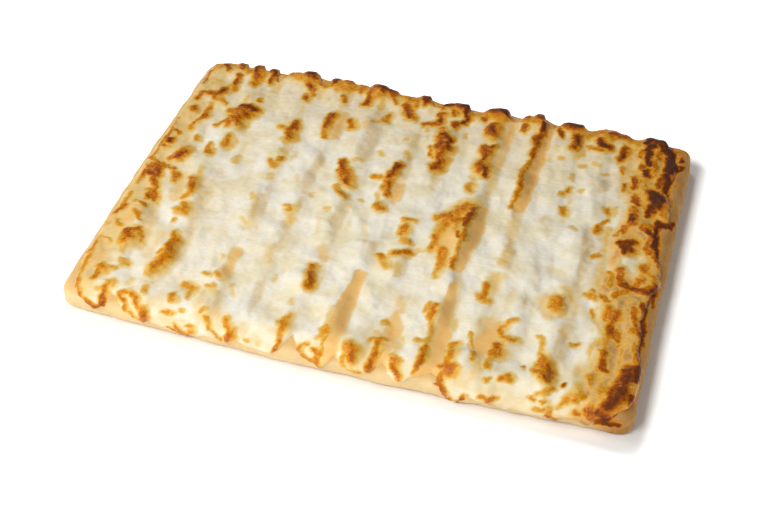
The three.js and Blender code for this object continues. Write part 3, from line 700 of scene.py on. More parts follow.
        (146, -17, 145, -21, 6, 6), (147, -24, 149, -31, 3, 2), (142, -32, 145, -41, 2, 2.4),
        (129, -53, 130, -56, 2.4, 2.6), (130, -76, 131, -82, 1.8, 1.8), (146, -60, 149, -78, 2, 2.4),
        (103, -86, 105, -91, 5, 6), (78, -80, 78, -82, 2.6, 2.6), (92, -91, 92, -91.5, 1, 1),
        (136, -108, 140, -111, 5, 5), (132, -113, 136, -117, 4, 4), (146, 91, 146, 90, 2, 2),
        (146, 84, 147, 83, 1.4, 1.4), (139, 31, 149, 33, 1.1, 1.1), (150, 35, 150, 31, 1.8, 1.8),
        (140, 70, 140, 58, 3, 3), (138, 88, 138, 76, 4, 4), (126, 96, 124, 92, 3, 2),
        (140, -98, 134, -110, 9, 10), (129, -108, 134, -114, 5, 6),
        # Front edge, from the left to the right.
        (-131, -114.5, -126.5, -116.5, 2, 2.4), (-123, -115, -124, -106, 2.2, 2.8),
        (-100.5, -108.5, -98.8, -113.7, 2, 3.2), (-98.8, -113.7, -97, -119.5, 3.2, 2.4),
        (-51.3, -115.5, -51.2, -118, 3.8, 4), (-26.7, -114, -26.7, -119, 1.6, 1.6),
        (10.5, -106, 12, -112, 5.6, 4.4), (21.6, -104, 22.2, -111, 3.4, 3.8),
        (22.2, -111, 22.8, -116.5, 3.8, 3.2), (33.5, -109, 36, -115, 2.6, 2),
        (44.4, -100, 43.6, -107, 3.4, 2.8), (58.5, -101.5, 59.6, -105, 5.4, 4.4),
        (56.9, -111, 58.2, -117, 2, 2.6), (62, -121.5, 66, -123.6, 2, 1.6),
        (70.5, -123.6, 71.2, -119.5, 2.2, 2), (82, -117.3, 84.8, -114, 2.8, 2.4),
        (104.5, -93.5, 106, -95.6, 3.4, 3), (112, -119.4, 113.4, -119.6, 2, 2),
    ),
    Shade.BURNT: (
        (10, 103, 16, 100, 4, 4), (29, 101, 33, 104, 3, 3.4), (33, 104, 38, 103, 3.4, 3.4),
        (38, 103, 42, 98, 3.6, 2.4), (74, 102, 86, 103, 3, 3.4), (122, 98, 124, 103, 3, 3.6),
        (124, 102, 135, 102, 4, 4), (135, 101, 138, 94, 4, 3.6), (138, 94, 139, 84, 3.4, 4),
        (141, 84, 143, 80, 4, 3), (140, 80, 139, 68, 3, 2.4), (132, 55, 138, 50, 6, 9),
        (134, 50, 138, 44, 8, 7), (140, 27, 142, 12, 2.2, 3), (142, 10, 143, 6, 2.4, 2),
        (144, -34, 147, -58, 2, 2.4), (141, -79, 147, -76, 5, 4), (141, -84, 142, -97, 7, 6.5),
        (147, -82, 147, -84, 3.4, 3.4), (146, -96, 147, -98, 5, 4), (138, -111, 140, -114, 5, 4),
        (135, -115, 137, -117, 3, 3), (145, -21, 146, -22, 4, 3), (139, -117, 147, -116, 2.4, 2.4),
        (144, -78, 142, -96, 8, 9), (136, -110, 139, -114, 6, 6),
        # Front edge, from the left to the right.
        (-127, -116.5, -123.5, -115.5, 2.2, 2.4), (58.4, -117, 62, -121.4, 2.8, 2.6),
        (114.6, -96.6, 115, -97.4, 0.5, 0.5), (140, -86, 136, -103, 6, 6), (133, -108, 137, -113, 4, 4),
    ),
    Shade.CHAR: (
        (144, -81, 142, -95, 5, 6), (136, -110, 139, -114, 4, 5), (141, -92, 138, -104, 4, 4),
        (140, -117, 146, -116.4, 2, 2), (147, -76, 148, -84, 3, 3),
    ),
}

# Beads along the back edge: x, width, height and shade.
BACK_KNOBS = (
    (-127, 8, 1.1, Shade.DARK), (-116, 9, 1.1, Shade.DARK), (-107, 8, 1.1, Shade.DARK),
    (-93, 11, 0.8, Shade.AMBER), (-84, 12, 1.1, Shade.DARK), (-67.5, 7, 1.0, Shade.DARK),
    (-59.5, 7, 1.0, Shade.BROWN), (-50, 6, 0.8, Shade.BROWN), (-42, 7, 1.3, Shade.BROWN),
    (-37, 8, 1.1, Shade.BURNT), (-30.5, 8, 1.1, Shade.BURNT), (-20, 10, 0.5, Shade.BROWN),
    (-10, 8, 1.3, Shade.BURNT), (5, 8, 0.8, Shade.DARK), (12.5, 13, 1.5, Shade.BURNT),
    (34.5, 18, 1.8, Shade.BURNT), (52, 6, 0.9, Shade.DARK), (60.5, 10, 1.3, Shade.BURNT),
    (80, 17, 1.7, Shade.BURNT), (97, 7, 0.9, Shade.AMBER), (108, 14, 0.9, Shade.DARK),
    (129.5, 17, 1.5, Shade.BURNT),
)

# Flanks of the ridges where the cheese is a thin film, as strokes in plan.
FLANKS = (
    (67.4, 98, 65, 22, 5.6, 7.6), (46, 15, 47, -4, 3, 9.4), (47, -4, 46, -35, 9.4, 3.4),
    (47, -47, 50.5, -112, 3, 14), (-2, -54, -3, -97, 6.6, 9.2), (-1, -94, 1, -118, 6, 6),
    (77, -68, 70.5, -84, 6, 11),
)

# Thin cheese that lets the crust's colour through: how much, and a stroke in plan.
STAINS = (
    (0.55, 65.5, 18, 68, -26, 5, 4), (0.6, -122, -6, -119, -26, 6, 7), (0.5, -74, -12, -70, -36, 4, 5),
    (0.6, -27, -41, -23, -48, 4, 4), (1.0, 127, 96, 130, 58, 20, 18), (0.65, 23, -65, 26, -73, 2.4, 2.4),
    (0.6, -54, -18, -51, -30, 5, 4), (0.5, -53, -48, -51, -58, 4, 4), (0.7, 70, -68, 71, -97, 10, 8),
    (0.75, 95, -44, 98, -54, 8, 7), (0.75, -123, -56, -120, -68, 5, 4), (0.9, 118, 100, 117, 62, 7, 6),
    (0.8, -100, 100, -100, 80, 4, 3), (0.85, -74, 103, -72, 85, 6, 4), (0.6, 46, 44, 46, 24, 4, 3),
    (0.6, -127, -35, -124, -52, 6, 7), (0.42, -113, -56, -114, -72, 8, 8), (0.55, 117, 16, 118, -26, 6, 7),
    (0.75, -128, 100, -124, 82, 9, 5), (0.75, 91, 98, 90, 85, 4, 3), (0.7, -54, 99, -55, 80, 5, 4),
    (0.7, -4, 99, -4, 90, 6, 4), (0.7, 22, 99, 22, 92, 4, 4), (0.5, -34, 81, -33, 72, 4, 4),
    (0.4, -6, 66, -5, 52, 5, 4), (1.05, 36, 14, 33, 0, 9, 17), (1.0, 33, 0, 37, -36, 17, 6),
    (0.6, 140, 44, 142, 34, 8, 8), (1.0, 136, -38, 137, -74, 14, 18), (0.95, 136, -74, 132, -104, 18, 16),
    (0.6, 102, -32, 109, -42, 5, 5), (0.6, 67, -34, 65, -48, 8, 7), (0.6, 106, -62, 109, -66, 2, 2),
    (0.9, 46.5, 97, 45.5, 50, 3, 2.4), (0.95, -52, 70, -51.5, 50, 5, 4), (0.9, -69.5, -56, -69, -76, 2, 3.4),
    (0.95, -2.6, 19, -1.6, 9, 5, 4), (0.95, 24, -74, 27, -114, 1.6, 5), (0.8, 25, -77, 28, -95, 3.6, 5),
    (0.42, -112, 74, -102, 62, 8, 8),
)

# Where the cheese ends: at the back by x and y on the sheet, at the front by x and y in plan, and at
# the right by y and x in plan.
BACK_EDGE = (
    (-152, 95), (-144, 99), (-134, 103), (-127, 108), (-122, 98), (-116, 107), (-111, 98), (-106, 107),
    (-101, 92), (-95, 104), (-88, 109), (-80, 107), (-74, 94), (-67, 107), (-59, 108), (-50, 107),
    (-42, 109), (-33, 107), (-24, 102), (-16, 101), (-10, 107), (-3, 97), (12, 109), (21, 97), (35, 110),
    (46, 96), (57, 109), (67, 96), (80, 110), (90, 101), (97, 108), (107, 107), (117, 101), (128, 109),
    (138, 99), (144, 90), (152, 84),
)
FRONT_EDGE = (
    (-152, -84), (-145, -86), (-142, -96), (-140, -104), (-136, -111), (-130, -116.5), (-126, -118),
    (-123.5, -116), (-122.5, -108), (-120, -103), (-117, -104), (-114, -109), (-110, -115.5),
    (-105, -118.5), (-98, -121), (-96.5, -117), (-93, -118.5), (-86, -119.5), (-80, -121), (-74, -123),
    (-70, -121), (-64, -119.5), (-58, -121), (-52, -121), (-48, -117), (-42, -119), (-34, -120),
    (-28, -121), (-25, -116), (-23.5, -107), (-21, -103), (-18.5, -106), (-16, -113), (-11, -119),
    (-5, -121), (-1, -124), (1, -119), (3, -110), (5, -112), (9, -117.5), (14, -120.5), (20, -120),
    (23.5, -119), (25, -112), (27, -107), (29, -109), (32, -115), (37.5, -121), (40, -119), (43, -114),
    (45.5, -112), (48, -108), (52, -106), (55.5, -108), (57, -114), (60, -119.5), (65, -124),
    (69.5, -125), (71.5, -121), (74, -119), (80, -120), (86, -120), (92, -122), (97, -119.5),
    (106, -120), (112, -120.5), (117, -122), (121, -118.5), (127, -117.5), (133, -120), (137, -116.5),
    (141, -110.5), (146, -102), (152, -92),
)
RIGHT_EDGE = (
    (-130, 132), (-117, 135), (-108, 143), (-95, 151), (-85, 151.5), (-75, 150), (-60, 146), (-40, 144),
    (-25, 146), (-15, 150.5), (-2, 148), (10, 143), (28, 140), (35, 147), (45, 145), (60, 141), (80, 144),
    (95, 139), (110, 134),
)

# Stretches of the front edge, by x, where the cheese's lip is toasted.
TOASTED_LIPS = ((-142, -123), (-117, -96), (-17, -2), (5, 20), (56, 72), (127, 142))

# Patch of the right end where the cheese has stayed white, how white, and over what distance it ends.
FRESH = Stroke(131, 0, 131, -8, 11, 11)
FRESH_SHARE = 0.9
FRESH_SPAN = (-2.0, 4.0)


def freshness(x: np.ndarray, y: np.ndarray, drift: np.ndarray) -> np.ndarray:
    """How white the fresh patch has stayed.

    Args:
        x: Plan x of each place.
        y: Plan y of each place.
        drift: How far the patch's edge wanders there.

    Returns:
        One share for each place, zero outside the patch.
    """
    return FRESH_SHARE - FRESH_SHARE * smoothstep(FRESH.gap(x, y) + drift, *FRESH_SPAN)


@dataclass(frozen=True)
class Oven:
    """What baking has left on the loaf: toasted marks, and how far each rim has browned."""

    warp_x: tuple[Grain, Grain] = (Grain(7, 8, 11.3, 2, 1.7), Grain(2.2, 2.8, 5.7, 3, 0.9))
    warp_y: tuple[Grain, Grain] = (Grain(8, 7, 23.9, 2, 1.7), Grain(2.8, 2.2, 8.2, 3, 0.9))
    drift: Grain = Grain(10, 14, 45.3, 3, 7.0)
    mottle: Grain = Grain(4, 9, 19.9, 4, 1.5)
    soft_shades: tuple[Shade, ...] = (Shade.FAINT, Shade.STRAW)
    blur: float = 3.2
    spread: float = 0.55
    right_spread: float = 0.7
    peak: float = 1.1
    core: float = 1.1
    fringe: float = 1.6
    fringe_least: float = 0.6
    fringe_growth: float = 0.5
    halo: float = 8.0
    halo_least: float = 2.2
    halo_growth: float = 1.4
    halo_share: float = 0.66
    lean: float = 1.8
    bubble: float = 0.12
    bubble_least: float = 1.0
    bubble_span: Pair = (-0.4, 1.0)
    back_heat: float = 0.2
    heat_reach: float = 90.0
    right_heat: float = 0.06
    heat_span: Pair = (112.0, 124.0)
    right_base: float = 0.18
    right_span: Pair = (112.0, 126.0)
    corner_base: float = 0.1
    corner_span: Pair = (36.0, 58.0)
    top_span: Pair = (14.0, CRUST_HEIGHT)
    fresh_drift: float = 0.4
    back_base: float = 0.38
    back_span: Pair = (87.0, 98.0)
    left_base: float = 0.17
    left_span: Pair = (-142.0, -126.0)
    left_end: Pair = (-149.0, -146.5)
    back_end: Pair = (104.0, 110.0)
    cap_at: float = 101.5
    cap_length: float = 7.0
    cap_span: Pair = (0.5, 1.3)
    bead_at: float = 102.0
    bead_length: float = 6.5
    bead_span: Pair = (0.45, 1.2)

    def warped(self, patch: Patch) -> tuple[np.ndarray, np.ndarray]:
        """Plan places shaken a little, so that marks get ragged edges.

        Args:
            patch: The surface.

        Returns:
            The shaken plan x and plan y.
        """
        x, y = patch.plan_x, patch.plan_y
        shaken_x, shaken_y = x, y
        for grain in self.warp_x:
            shaken_x = shaken_x + grain.at(x, y)
        for grain in self.warp_y:
            shaken_y = shaken_y + grain.at(x, y)
        return shaken_x, shaken_y

    def rims(self, patch: Patch) -> np.ndarray:
        """Even browning of the right end, the back edge and the left edge.

        Args:
            patch: The surface.

        Returns:
            The browning that lies under the marks there.
        """
        x, y = patch.plan_x, patch.plan_y
        drift = self.drift.at(x, y)
        corner = self.corner_base * smoothstep(y + drift, *self.corner_span)
        mottle = 1.0 + self.mottle.at(x, y)
        on_top = smoothstep(patch.points[:, 2], *self.top_span)
        right = (self.right_base + corner) * mottle * on_top * smoothstep(x + drift, *self.right_span)
        right = right * (1.0 - freshness(x, y, self.fresh_drift * drift))
        back = self.back_base * smoothstep(y + drift, *self.back_span)
        left = self.left_base * (1.0 - smoothstep(x + drift, *self.left_span))
        return np.maximum(np.maximum(right, back), left)

    def marked(self, x: np.ndarray, y: np.ndarray) -> tuple[np.ndarray, np.ndarray]:
        """The toasted marks, each with a dark core, a golden fringe and a soft halo to its right.

        Args:
            x: Shaken plan x of each place.
            y: Shaken plan y of each place.

        Returns:
            The browning from 0 to about 1, and the height of the bubbles.
        """
        wide = 1.0 + self.right_spread * smoothstep(x, *self.right_span)
        brown = np.zeros_like(x)
        bubbles = np.zeros_like(x)
        for shade, rows in MARKS.items():
            for stroke in (Stroke(*row) for row in rows):
                gap = stroke.gap(x, y)
                half = stroke.half
                if shade in self.soft_shades:
                    brown = np.maximum(brown, shade.value * (1.0 - smoothstep(gap, -half, self.blur)))
                    continue
                gap = gap - self.spread * wide
                fringe = min(self.fringe, self.fringe_least + self.fringe_growth * half)
                level = self.peak - self.peak * smoothstep(gap, -self.core * half, fringe)
                leaning = stroke.gap(x - min(self.lean, half / 2), y)
                reach = min(self.halo, self.halo_least + self.halo_growth * half)
                halo = 1.0 - smoothstep(leaning / wide, -half, reach)
                brown = np.maximum(brown, shade.value * np.maximum(level, self.halo_share * halo))
                dome = smoothstep(-gap / max(half, self.bubble_least), *self.bubble_span)
                bubbles = np.maximum(bubbles, self.bubble * half * 2 * shade.value * dome)
        return brown, bubbles

    def toast(self, patch: Patch) -> tuple[np.ndarray, np.ndarray]:
        """How brown the surface is, and how far the marks have bubbled up.

        Args:
            patch: The surface.

        Returns:
            The browning from 0 to about 1, and the height of the bubbles.
        """
        x, y = self.warped(patch)
        brown, bubbles = self.marked(x, y)
        seen = smoothstep(patch.u, *self.left_end) * (1.0 - smoothstep(patch.v, *self.back_end))
        heat = self.back_heat * np.clip(y / self.heat_reach, -1.0, 1.0)
        heat = heat + self.right_heat * smoothstep(x, *self.heat_span)
        brown = brown * (1.0 + heat)
        brown = np.maximum(brown, self.rims(patch)) * seen
        bubbles = bubbles * seen
        for knob in (Knob(*row) for row in BACK_KNOBS):
            across = (patch.u - knob.x) / (knob.width / 2)
            cap = np.hypot(across, (patch.v - self.cap_at) / self.cap_length)
            bead = np.hypot(across, (patch.v - self.bead_at) / self.bead_length)
            brown = np.maximum(brown, knob.shade.value * (1.0 - smoothstep(cap, *self.cap_span)))
            bubbles = np.maximum(bubbles, knob.height * (1.0 - smoothstep(bead, *self.bead_span)))
        return brown, bubbles


@dataclass(frozen=True)
class Melt:
    """The cheese's spread: where it ends, where it has run thin, and how thick it is."""

    depth: float = 1.8
    side_depth: float = 1.7
    side_span: Pair = (2.0, 8.0)
    left_edge: float = -145.4
    run_down: float = 2.1
    rim: float = 2.6
    rim_power: float = 0.6
    sunk: float = 0.7
    sunk_reach: float = 1.2
    pool: float = 0.2
    pool_relief: float = 2.0
    pool_limits: Pair = (-0.6, 1.6)
    thinnest: float = 0.25
    back_thinning: float = 0.45
    back_span: Pair = (92.0, 99.0)
    toast_relief: float = 0.3
    crisp: float = 0.9
    gentle: float = 2.2
    film: float = 1.5
    film_span: Pair = (-1.4, 0.8)
    veil_inside: float = 0.4
    veil_level: float = 0.92
    veil_more: float = 0.22
    veil_span: Pair = (-20.0, 60.0)
    shake: Grain = Grain(6, 6, 41.7, 3)
    waver: Grain = Grain(7, 9, 17.3, 3, 1.3)
    drift: Grain = Grain(7, 10, 97.1, 3, 1.2)
    veil_drift: float = 0.6
    heaps: Grain = Grain(11, 17, 61.1, 4, 1.2)
    strands: Grain = Grain(13, 2.4, 77.5, 2, 0.08)
    wrinkles: Grain = Grain(2.6, 3, 88.1)

    def inside(self, patch: Patch) -> np.ndarray:
        """Distance from the cheese's outer edge, positive on the cheese.

        Args:
            patch: The surface.

        Returns:
            One distance for each place.
        """
        x, y = patch.plan_x, patch.plan_y
        front = y - edge_through(FRONT_EDGE, x) + self.run_down
        right = edge_through(RIGHT_EDGE, y) - x
        left = patch.u - self.left_edge
        back = edge_through(BACK_EDGE, patch.u) - patch.v
        return np.minimum(np.minimum(front, right), np.minimum(left, back)) + self.shake.at(x, y)

    def fade(self, patch: Patch) -> tuple[np.ndarray, np.ndarray]:
        """How the cheese thins out on the flanks, crisply on their left and gently on their right.

        Args:
            patch: The surface.

        Returns:
            The share of the full thickness, and how much of the crust's colour comes through.
        """
        x, y = patch.plan_x, patch.plan_y
        drift = self.drift.at(x, y)
        waver = self.waver.at(x, y)
        share = np.ones_like(x)
        veil = np.zeros_like(x)
        film_low, film_more = self.film_span
        for flank in (Stroke(*row) for row in FLANKS):
            gap = flank.gap(x, y) + waver
            right = smoothstep(flank.offset(x, y), -flank.half, flank.half)
            reach = self.crisp + (self.gentle - self.crisp) * right
            share = np.minimum(share, smoothstep(gap, film_low, reach + film_more))
            bare = smoothstep(gap + self.veil_drift * drift, -self.veil_inside * reach, reach)
            veil = np.maximum(veil, 1.0 - bare)
        return share, veil * (self.veil_level + self.veil_more * smoothstep(y, *self.veil_span))

    def thickness(
        self, patch: Patch, brown: np.ndarray, bubbles: np.ndarray
    ) -> tuple[np.ndarray, np.ndarray, np.ndarray]:
        """How thick the cheese is, how far its outer edge is, and how thin it is on the flanks.

        Args:
            patch: The surface.
            brown: How toasted each place is.
            bubbles: How far each place has bubbled up.

        Returns:
            The height over the crust, below zero past the edge, the distance, and the thinness.
        """
        outer = self.inside(patch)
        x, y = patch.plan_x, patch.plan_y
        down = smoothstep(patch.below_rim, *self.side_span)
        height = self.depth + (self.side_depth - self.depth) * down
        pooled = np.clip(1.0 - patch.relief / self.pool_relief, *self.pool_limits)
        height = height + self.pool * pooled * (1.0 - down)
        height = height + self.heaps.at(x, y) + self.strands.at(x, y)
        height = height + brown * self.toast_relief * self.wrinkles.at(x, y)
        at_back = 1.0 - self.back_thinning * smoothstep(patch.v, *self.back_span)
        height = np.maximum(height, self.thinnest) * at_back + bubbles
        rise = np.clip(outer / self.rim, 0.0, 1.0) ** self.rim_power
        soft, veil = self.fade(patch)
        cover = (height * soft + self.film * (1.0 - soft)) * rise
        beyond = self.sunk * np.maximum(outer, -self.sunk_reach) / self.sunk_reach
        return np.where(outer > 0, cover, beyond), outer, veil


@dataclass(frozen=True)
class Tint:
    """How much of the crust's colour comes through the cheese, by its place on the loaf, with painted shade
    on slopes that face right, in valleys and, in part, over the far half.

    Each share has a span over which it comes in. The drift shifts the spans and makes the shares uneven.
    """

    drift: Grain = Grain(11, 16, 52.9, 3)
    strands: Grain = Grain(12, 1.6, 67.2, 2, 0.08)
    left: float = 0.66
    left_span: Pair = (-142.0, -110.0)
    right: float = 0.8
    right_start: float = 109.0
    right_width: float = 17.0
    right_drift: float = 8.0
    right_later: float = 7.0
    right_later_span: Pair = (5.0, 50.0)
    browner: float = 0.8
    browner_span: Pair = (117.0, 130.0)
    browner_drift: float = 5.0
    corner: float = 0.2
    corner_span: Pair = (36.0, 60.0)
    back: float = 0.8
    back_span: Pair = (80.0, 100.0)
    front: float = 0.3
    front_span: Pair = (84.0, 106.0)
    front_later: float = 8.0
    front_later_span: Pair = (-90.0, -50.0)
    uneven: float = 0.7
    evener: float = 0.45
    evener_span: Pair = (90.0, 105.0)
    fresh_drift: float = 3.0
    # The far half is tinted: partly the cheese's own yellower tone at the back, partly painted shade for
    # light that falls off towards the back.
    far: float = 0.3
    far_span: Pair = (0.0, 90.0)
    # Painted shade: slopes that face right, away from the lamps on the left, get a warm cream tint as if in
    # shade.
    painted_slope_shade: float = 0.36
    painted_slope_shade_span: Pair = (0.04, 0.34)
    painted_slope_shade_drift: float = 0.1
    painted_slope_shade_step: float = 2.0
    # Painted shade in the valleys between the ridges, as a warm tint.
    painted_valley_shade: float = 0.18
    painted_valley_shade_span: Pair = (0.3, 2.1)
    crest: float = 0.3
    crest_span: Pair = (0.2, 2.6)
    crest_patches: Pair = (-0.3, 0.5)

    def rims(self, x: np.ndarray, y: np.ndarray, drift: np.ndarray) -> np.ndarray:
        """Tint along the four rims, most at the right end, and little on the fresh patch.

        Args:
            x: Plan x of each place.
            y: Plan y of each place.
            drift: The noise that makes it uneven.

        Returns:
            The tint there.
        """
        left = self.left - self.left * smoothstep(x, *self.left_span)
        start = self.right_start + self.right_later * smoothstep(-y, *self.right_later_span)
        start = start - self.right_drift * drift
        browner = self.browner * smoothstep(x + self.browner_drift * drift, *self.browner_span)
        browner = browner + self.corner * smoothstep(y, *self.corner_span)
        right = (self.right + browner) * smoothstep(x, start, start + self.right_width)
        back = self.back * smoothstep(y, *self.back_span)
        later = self.front_later * smoothstep(x, *self.front_later_span)
        front = self.front * smoothstep(-y - later, *self.front_span)
        rims = np.maximum(np.maximum(left, right), np.maximum(back, front))
        uneven = self.uneven - self.evener * smoothstep(x, *self.evener_span)
        return rims * (1.0 + uneven * drift) * (1.0 - freshness(x, y, self.fresh_drift * drift))

    def over(self, patch: Patch, loaf: Loaf) -> np.ndarray:
        """Tint over the whole sheet.

        Args:
            patch: The surface.
            loaf: The loaf that it lies on.

        Returns:
            The tint: that of the rims, of the far half (partly the cheese's own tone, partly painted
            shade), painted shade on slopes that face right and in valleys, and that of crests.
        """
        x, y = patch.plan_x, patch.plan_y
        drift = self.drift.at(x, y)
        # Painted shade: how steeply the dough falls to the right picks the slopes that get the shade tint.
        fall = loaf.pressed(x - self.painted_slope_shade_step, y) - loaf.pressed(x + self.painted_slope_shade_step, y)
        fall = fall / (2 * self.painted_slope_shade_step)
        painted_slope_shade = self.painted_slope_shade * smoothstep(fall + self.painted_slope_shade_drift * drift, *self.painted_slope_shade_span)
        # Painted shade: the valleys get a warm tint where shade falls.
        painted_valley_shade = self.painted_valley_shade * smoothstep(-patch.relief, *self.painted_valley_shade_span)
        # Partly the cheese's own tone, partly painted shade for the dimmer light at the back.
        far = self.far * smoothstep(y, *self.far_span)
        top = np.maximum(far, np.maximum(painted_slope_shade, painted_valley_shade))
        crest = self.crest * smoothstep(patch.relief, *self.crest_span)
        crest = crest * smoothstep(drift, *self.crest_patches)
        return np.maximum(self.rims(x, y, drift), top) + crest + self.strands.at(x, y)


@dataclass(frozen=True)
class Colour:
    """A colour as seen on a screen, each part from 0 to 255."""

    red: int
    green: int
    blue: int

    @property
    def linear(self) -> tuple[float, float, float, float]:
        """The colour as the shader takes it, by the sRGB curve."""
        parts = []
        for part in (self.red, self.green, self.blue):
            share = part / 255.0
            parts.append(share / 12.92 if share <= 0.04045 else ((share + 0.055) / 1.055) ** 2.4)
        return parts[0], parts[1], parts[2], 1.0


class Graph:
    """A material's nodes, with a short method for each kind that the loaf needs.

    A mix node's colours are found by their place, because several of its sockets have the same name.
    """

    noise_roughness: float = 0.55
    mix_inputs: tuple[int, int] = (6, 7)
    mix_output: int = 2

    def __init__(self, name: str) -> None:
        """Starts a material with one shader."""
        self.material = bpy.data.materials.new(name)
        self.material.use_nodes = True
        self.tree = self.material.node_tree
        self.shader = self.tree.nodes["Principled BSDF"]
        self.place = self.tree.nodes.new("ShaderNodeTexCoord").outputs["Object"]

    def plug(self, socket: Socket, value: Socket | float | tuple) -> None:
        """Links a socket, or sets its value."""
        if isinstance(value, Socket):
            self.tree.links.new(value, socket)
        else:
            socket.default_value = value

    def give(self, name: str, value: Socket | float | tuple) -> None:
        """Links one of the shader's own sockets, or sets its value."""
        self.plug(self.shader.inputs[name], value)

    def beyond(self, half: Triple) -> Socket:
        """Distance from a box about the origin.

        Args:
            half: Half sizes of the box.

        Returns:
            The distance, zero inside the box.
        """
        reached = self.place
        for operation, size in (("ABSOLUTE", half), ("SUBTRACT", half), ("MAXIMUM", (0.0, 0.0, 0.0))):
            node = self.tree.nodes.new("ShaderNodeVectorMath")
            node.operation = operation
            self.tree.links.new(reached, node.inputs[0])
            node.inputs[1].default_value = size
            reached = node.outputs["Vector"]
        node = self.tree.nodes.new("ShaderNodeVectorMath")
        node.operation = "LENGTH"
        self.tree.links.new(reached, node.inputs[0])
        return node.outputs["Value"]

    def attribute(self, name: str) -> Socket:
        """A number stored at each vertex."""
        node = self.tree.nodes.new("ShaderNodeAttribute")
        node.attribute_name = name
        return node.outputs["Fac"]

    def noise(self, size: float, detail: float, stretch: Triple = (1.0, 1.0, 1.0)) -> Socket:
        """Noise over the piece.

        Args:
            size: Length of one lump in millimetres.
            detail: Layers of finer lumps.
            stretch: How many times finer it is along each axis.

        Returns:
            The noise, about one half.
        """
        mapping = self.tree.nodes.new("ShaderNodeMapping")
        mapping.inputs["Scale"].default_value = stretch
        self.tree.links.new(self.place, mapping.inputs["Vector"])
        node = self.tree.nodes.new("ShaderNodeTexNoise")
        node.inputs["Scale"].default_value = 1.0 / (size * MM)
        node.inputs["Detail"].default_value = detail
        node.inputs["Roughness"].default_value = self.noise_roughness
        self.tree.links.new(mapping.outputs["Vector"], node.inputs["Vector"])
        return node.outputs["Fac"]

    def math(self, operation: str, first: Socket | float, second: Socket | float = 0.0) -> Socket:
        """A sum, product or other operation on two numbers."""
        node = self.tree.nodes.new("ShaderNodeMath")
        node.operation = operation
        self.plug(node.inputs[0], first)
        self.plug(node.inputs[1], second)
        return node.outputs["Value"]

    def add(self, first: Socket, second: Socket) -> Socket:
        """Sum of two numbers."""
        return self.math("ADD", first, second)

    def times(self, first: Socket, second: Socket | float) -> Socket:
        """Product of two numbers."""
        return self.math("MULTIPLY", first, second)

    def swing(self, value: Socket, amount: float) -> Socket:
        """Noise moved to lie about zero, and scaled."""
        return self.times(self.math("SUBTRACT", value, 0.5), amount)

    def rise(self, value: Socket, span: Pair, low: float = 0.0, high: float = 1.0) -> Socket:
        """Smooth change from one number to another as a value crosses a span.

        Args:
            value: What drives the change.
            span: Where the change starts and ends.
            low: Number at the start.
            high: Number at the end.

        Returns:
            The changed number.
        """
        node = self.tree.nodes.new("ShaderNodeMapRange")
        node.interpolation_type = "SMOOTHSTEP"
        for name, number in zip(("From Min", "From Max", "To Min", "To Max"), (*span, low, high)):
            node.inputs[name].default_value = number
        self.tree.links.new(value, node.inputs["Value"])
        return node.outputs["Result"]

    def ramp(self, value: Socket, stops: tuple[tuple[float, Colour], ...]) -> Socket:
        """Colour that follows a number through several stops."""
        node = self.tree.nodes.new("ShaderNodeValToRGB")
        elements = node.color_ramp.elements
        while len(elements) < len(stops):
            elements.new(1.0)
        for element, (position, colour) in zip(elements, stops):
            element.position = position
            element.color = colour.linear
        self.tree.links.new(value, node.inputs["Fac"])
        return node.outputs["Color"]

    def mix(self, factor: Socket, first: Socket | Colour, second: Socket | Colour) -> Socket:
        """Blend of two colours."""
        node = self.tree.nodes.new("ShaderNodeMix")
        node.data_type = "RGBA"
        self.plug(node.inputs["Factor"], factor)
        for index, colour in zip(self.mix_inputs, (first, second)):
            self.plug(node.inputs[index], colour.linear if isinstance(colour, Colour) else colour)
        return node.outputs[self.mix_output]

    def bump(self, height: Socket, strength: float, depth: float, below: Socket | None = None) -> Socket:
        """Fine relief in the shading.

        Args:
            height: Relief from 0 to 1.
            strength: How much of it shows.
            depth: Height of the relief in millimetres.
            below: Relief that this one lies on.

        Returns:
            The surface's bent facing.
        """
        node = self.tree.nodes.new("ShaderNodeBump")
        node.inputs["Strength"].default_value = strength
        node.inputs["Distance"].default_value = depth * MM
        self.tree.links.new(height, node.inputs["Height"])
        if below is not None:
            self.tree.links.new(below, node.inputs["Normal"])
        return node.outputs["Normal"]


TOAST_STOPS = (
    (0.05, Colour(226, 212, 172)),
    (0.14, Colour(225, 198, 136)),
    (0.24, Colour(221, 175, 84)),
    (0.36, Colour(212, 146, 32)),
    (0.5, Colour(198, 115, 9)),
    (0.64, Colour(166, 85, 12)),
    (0.8, Colour(119, 60, 25)),
    (1.0, Colour(82, 51, 36)),
)


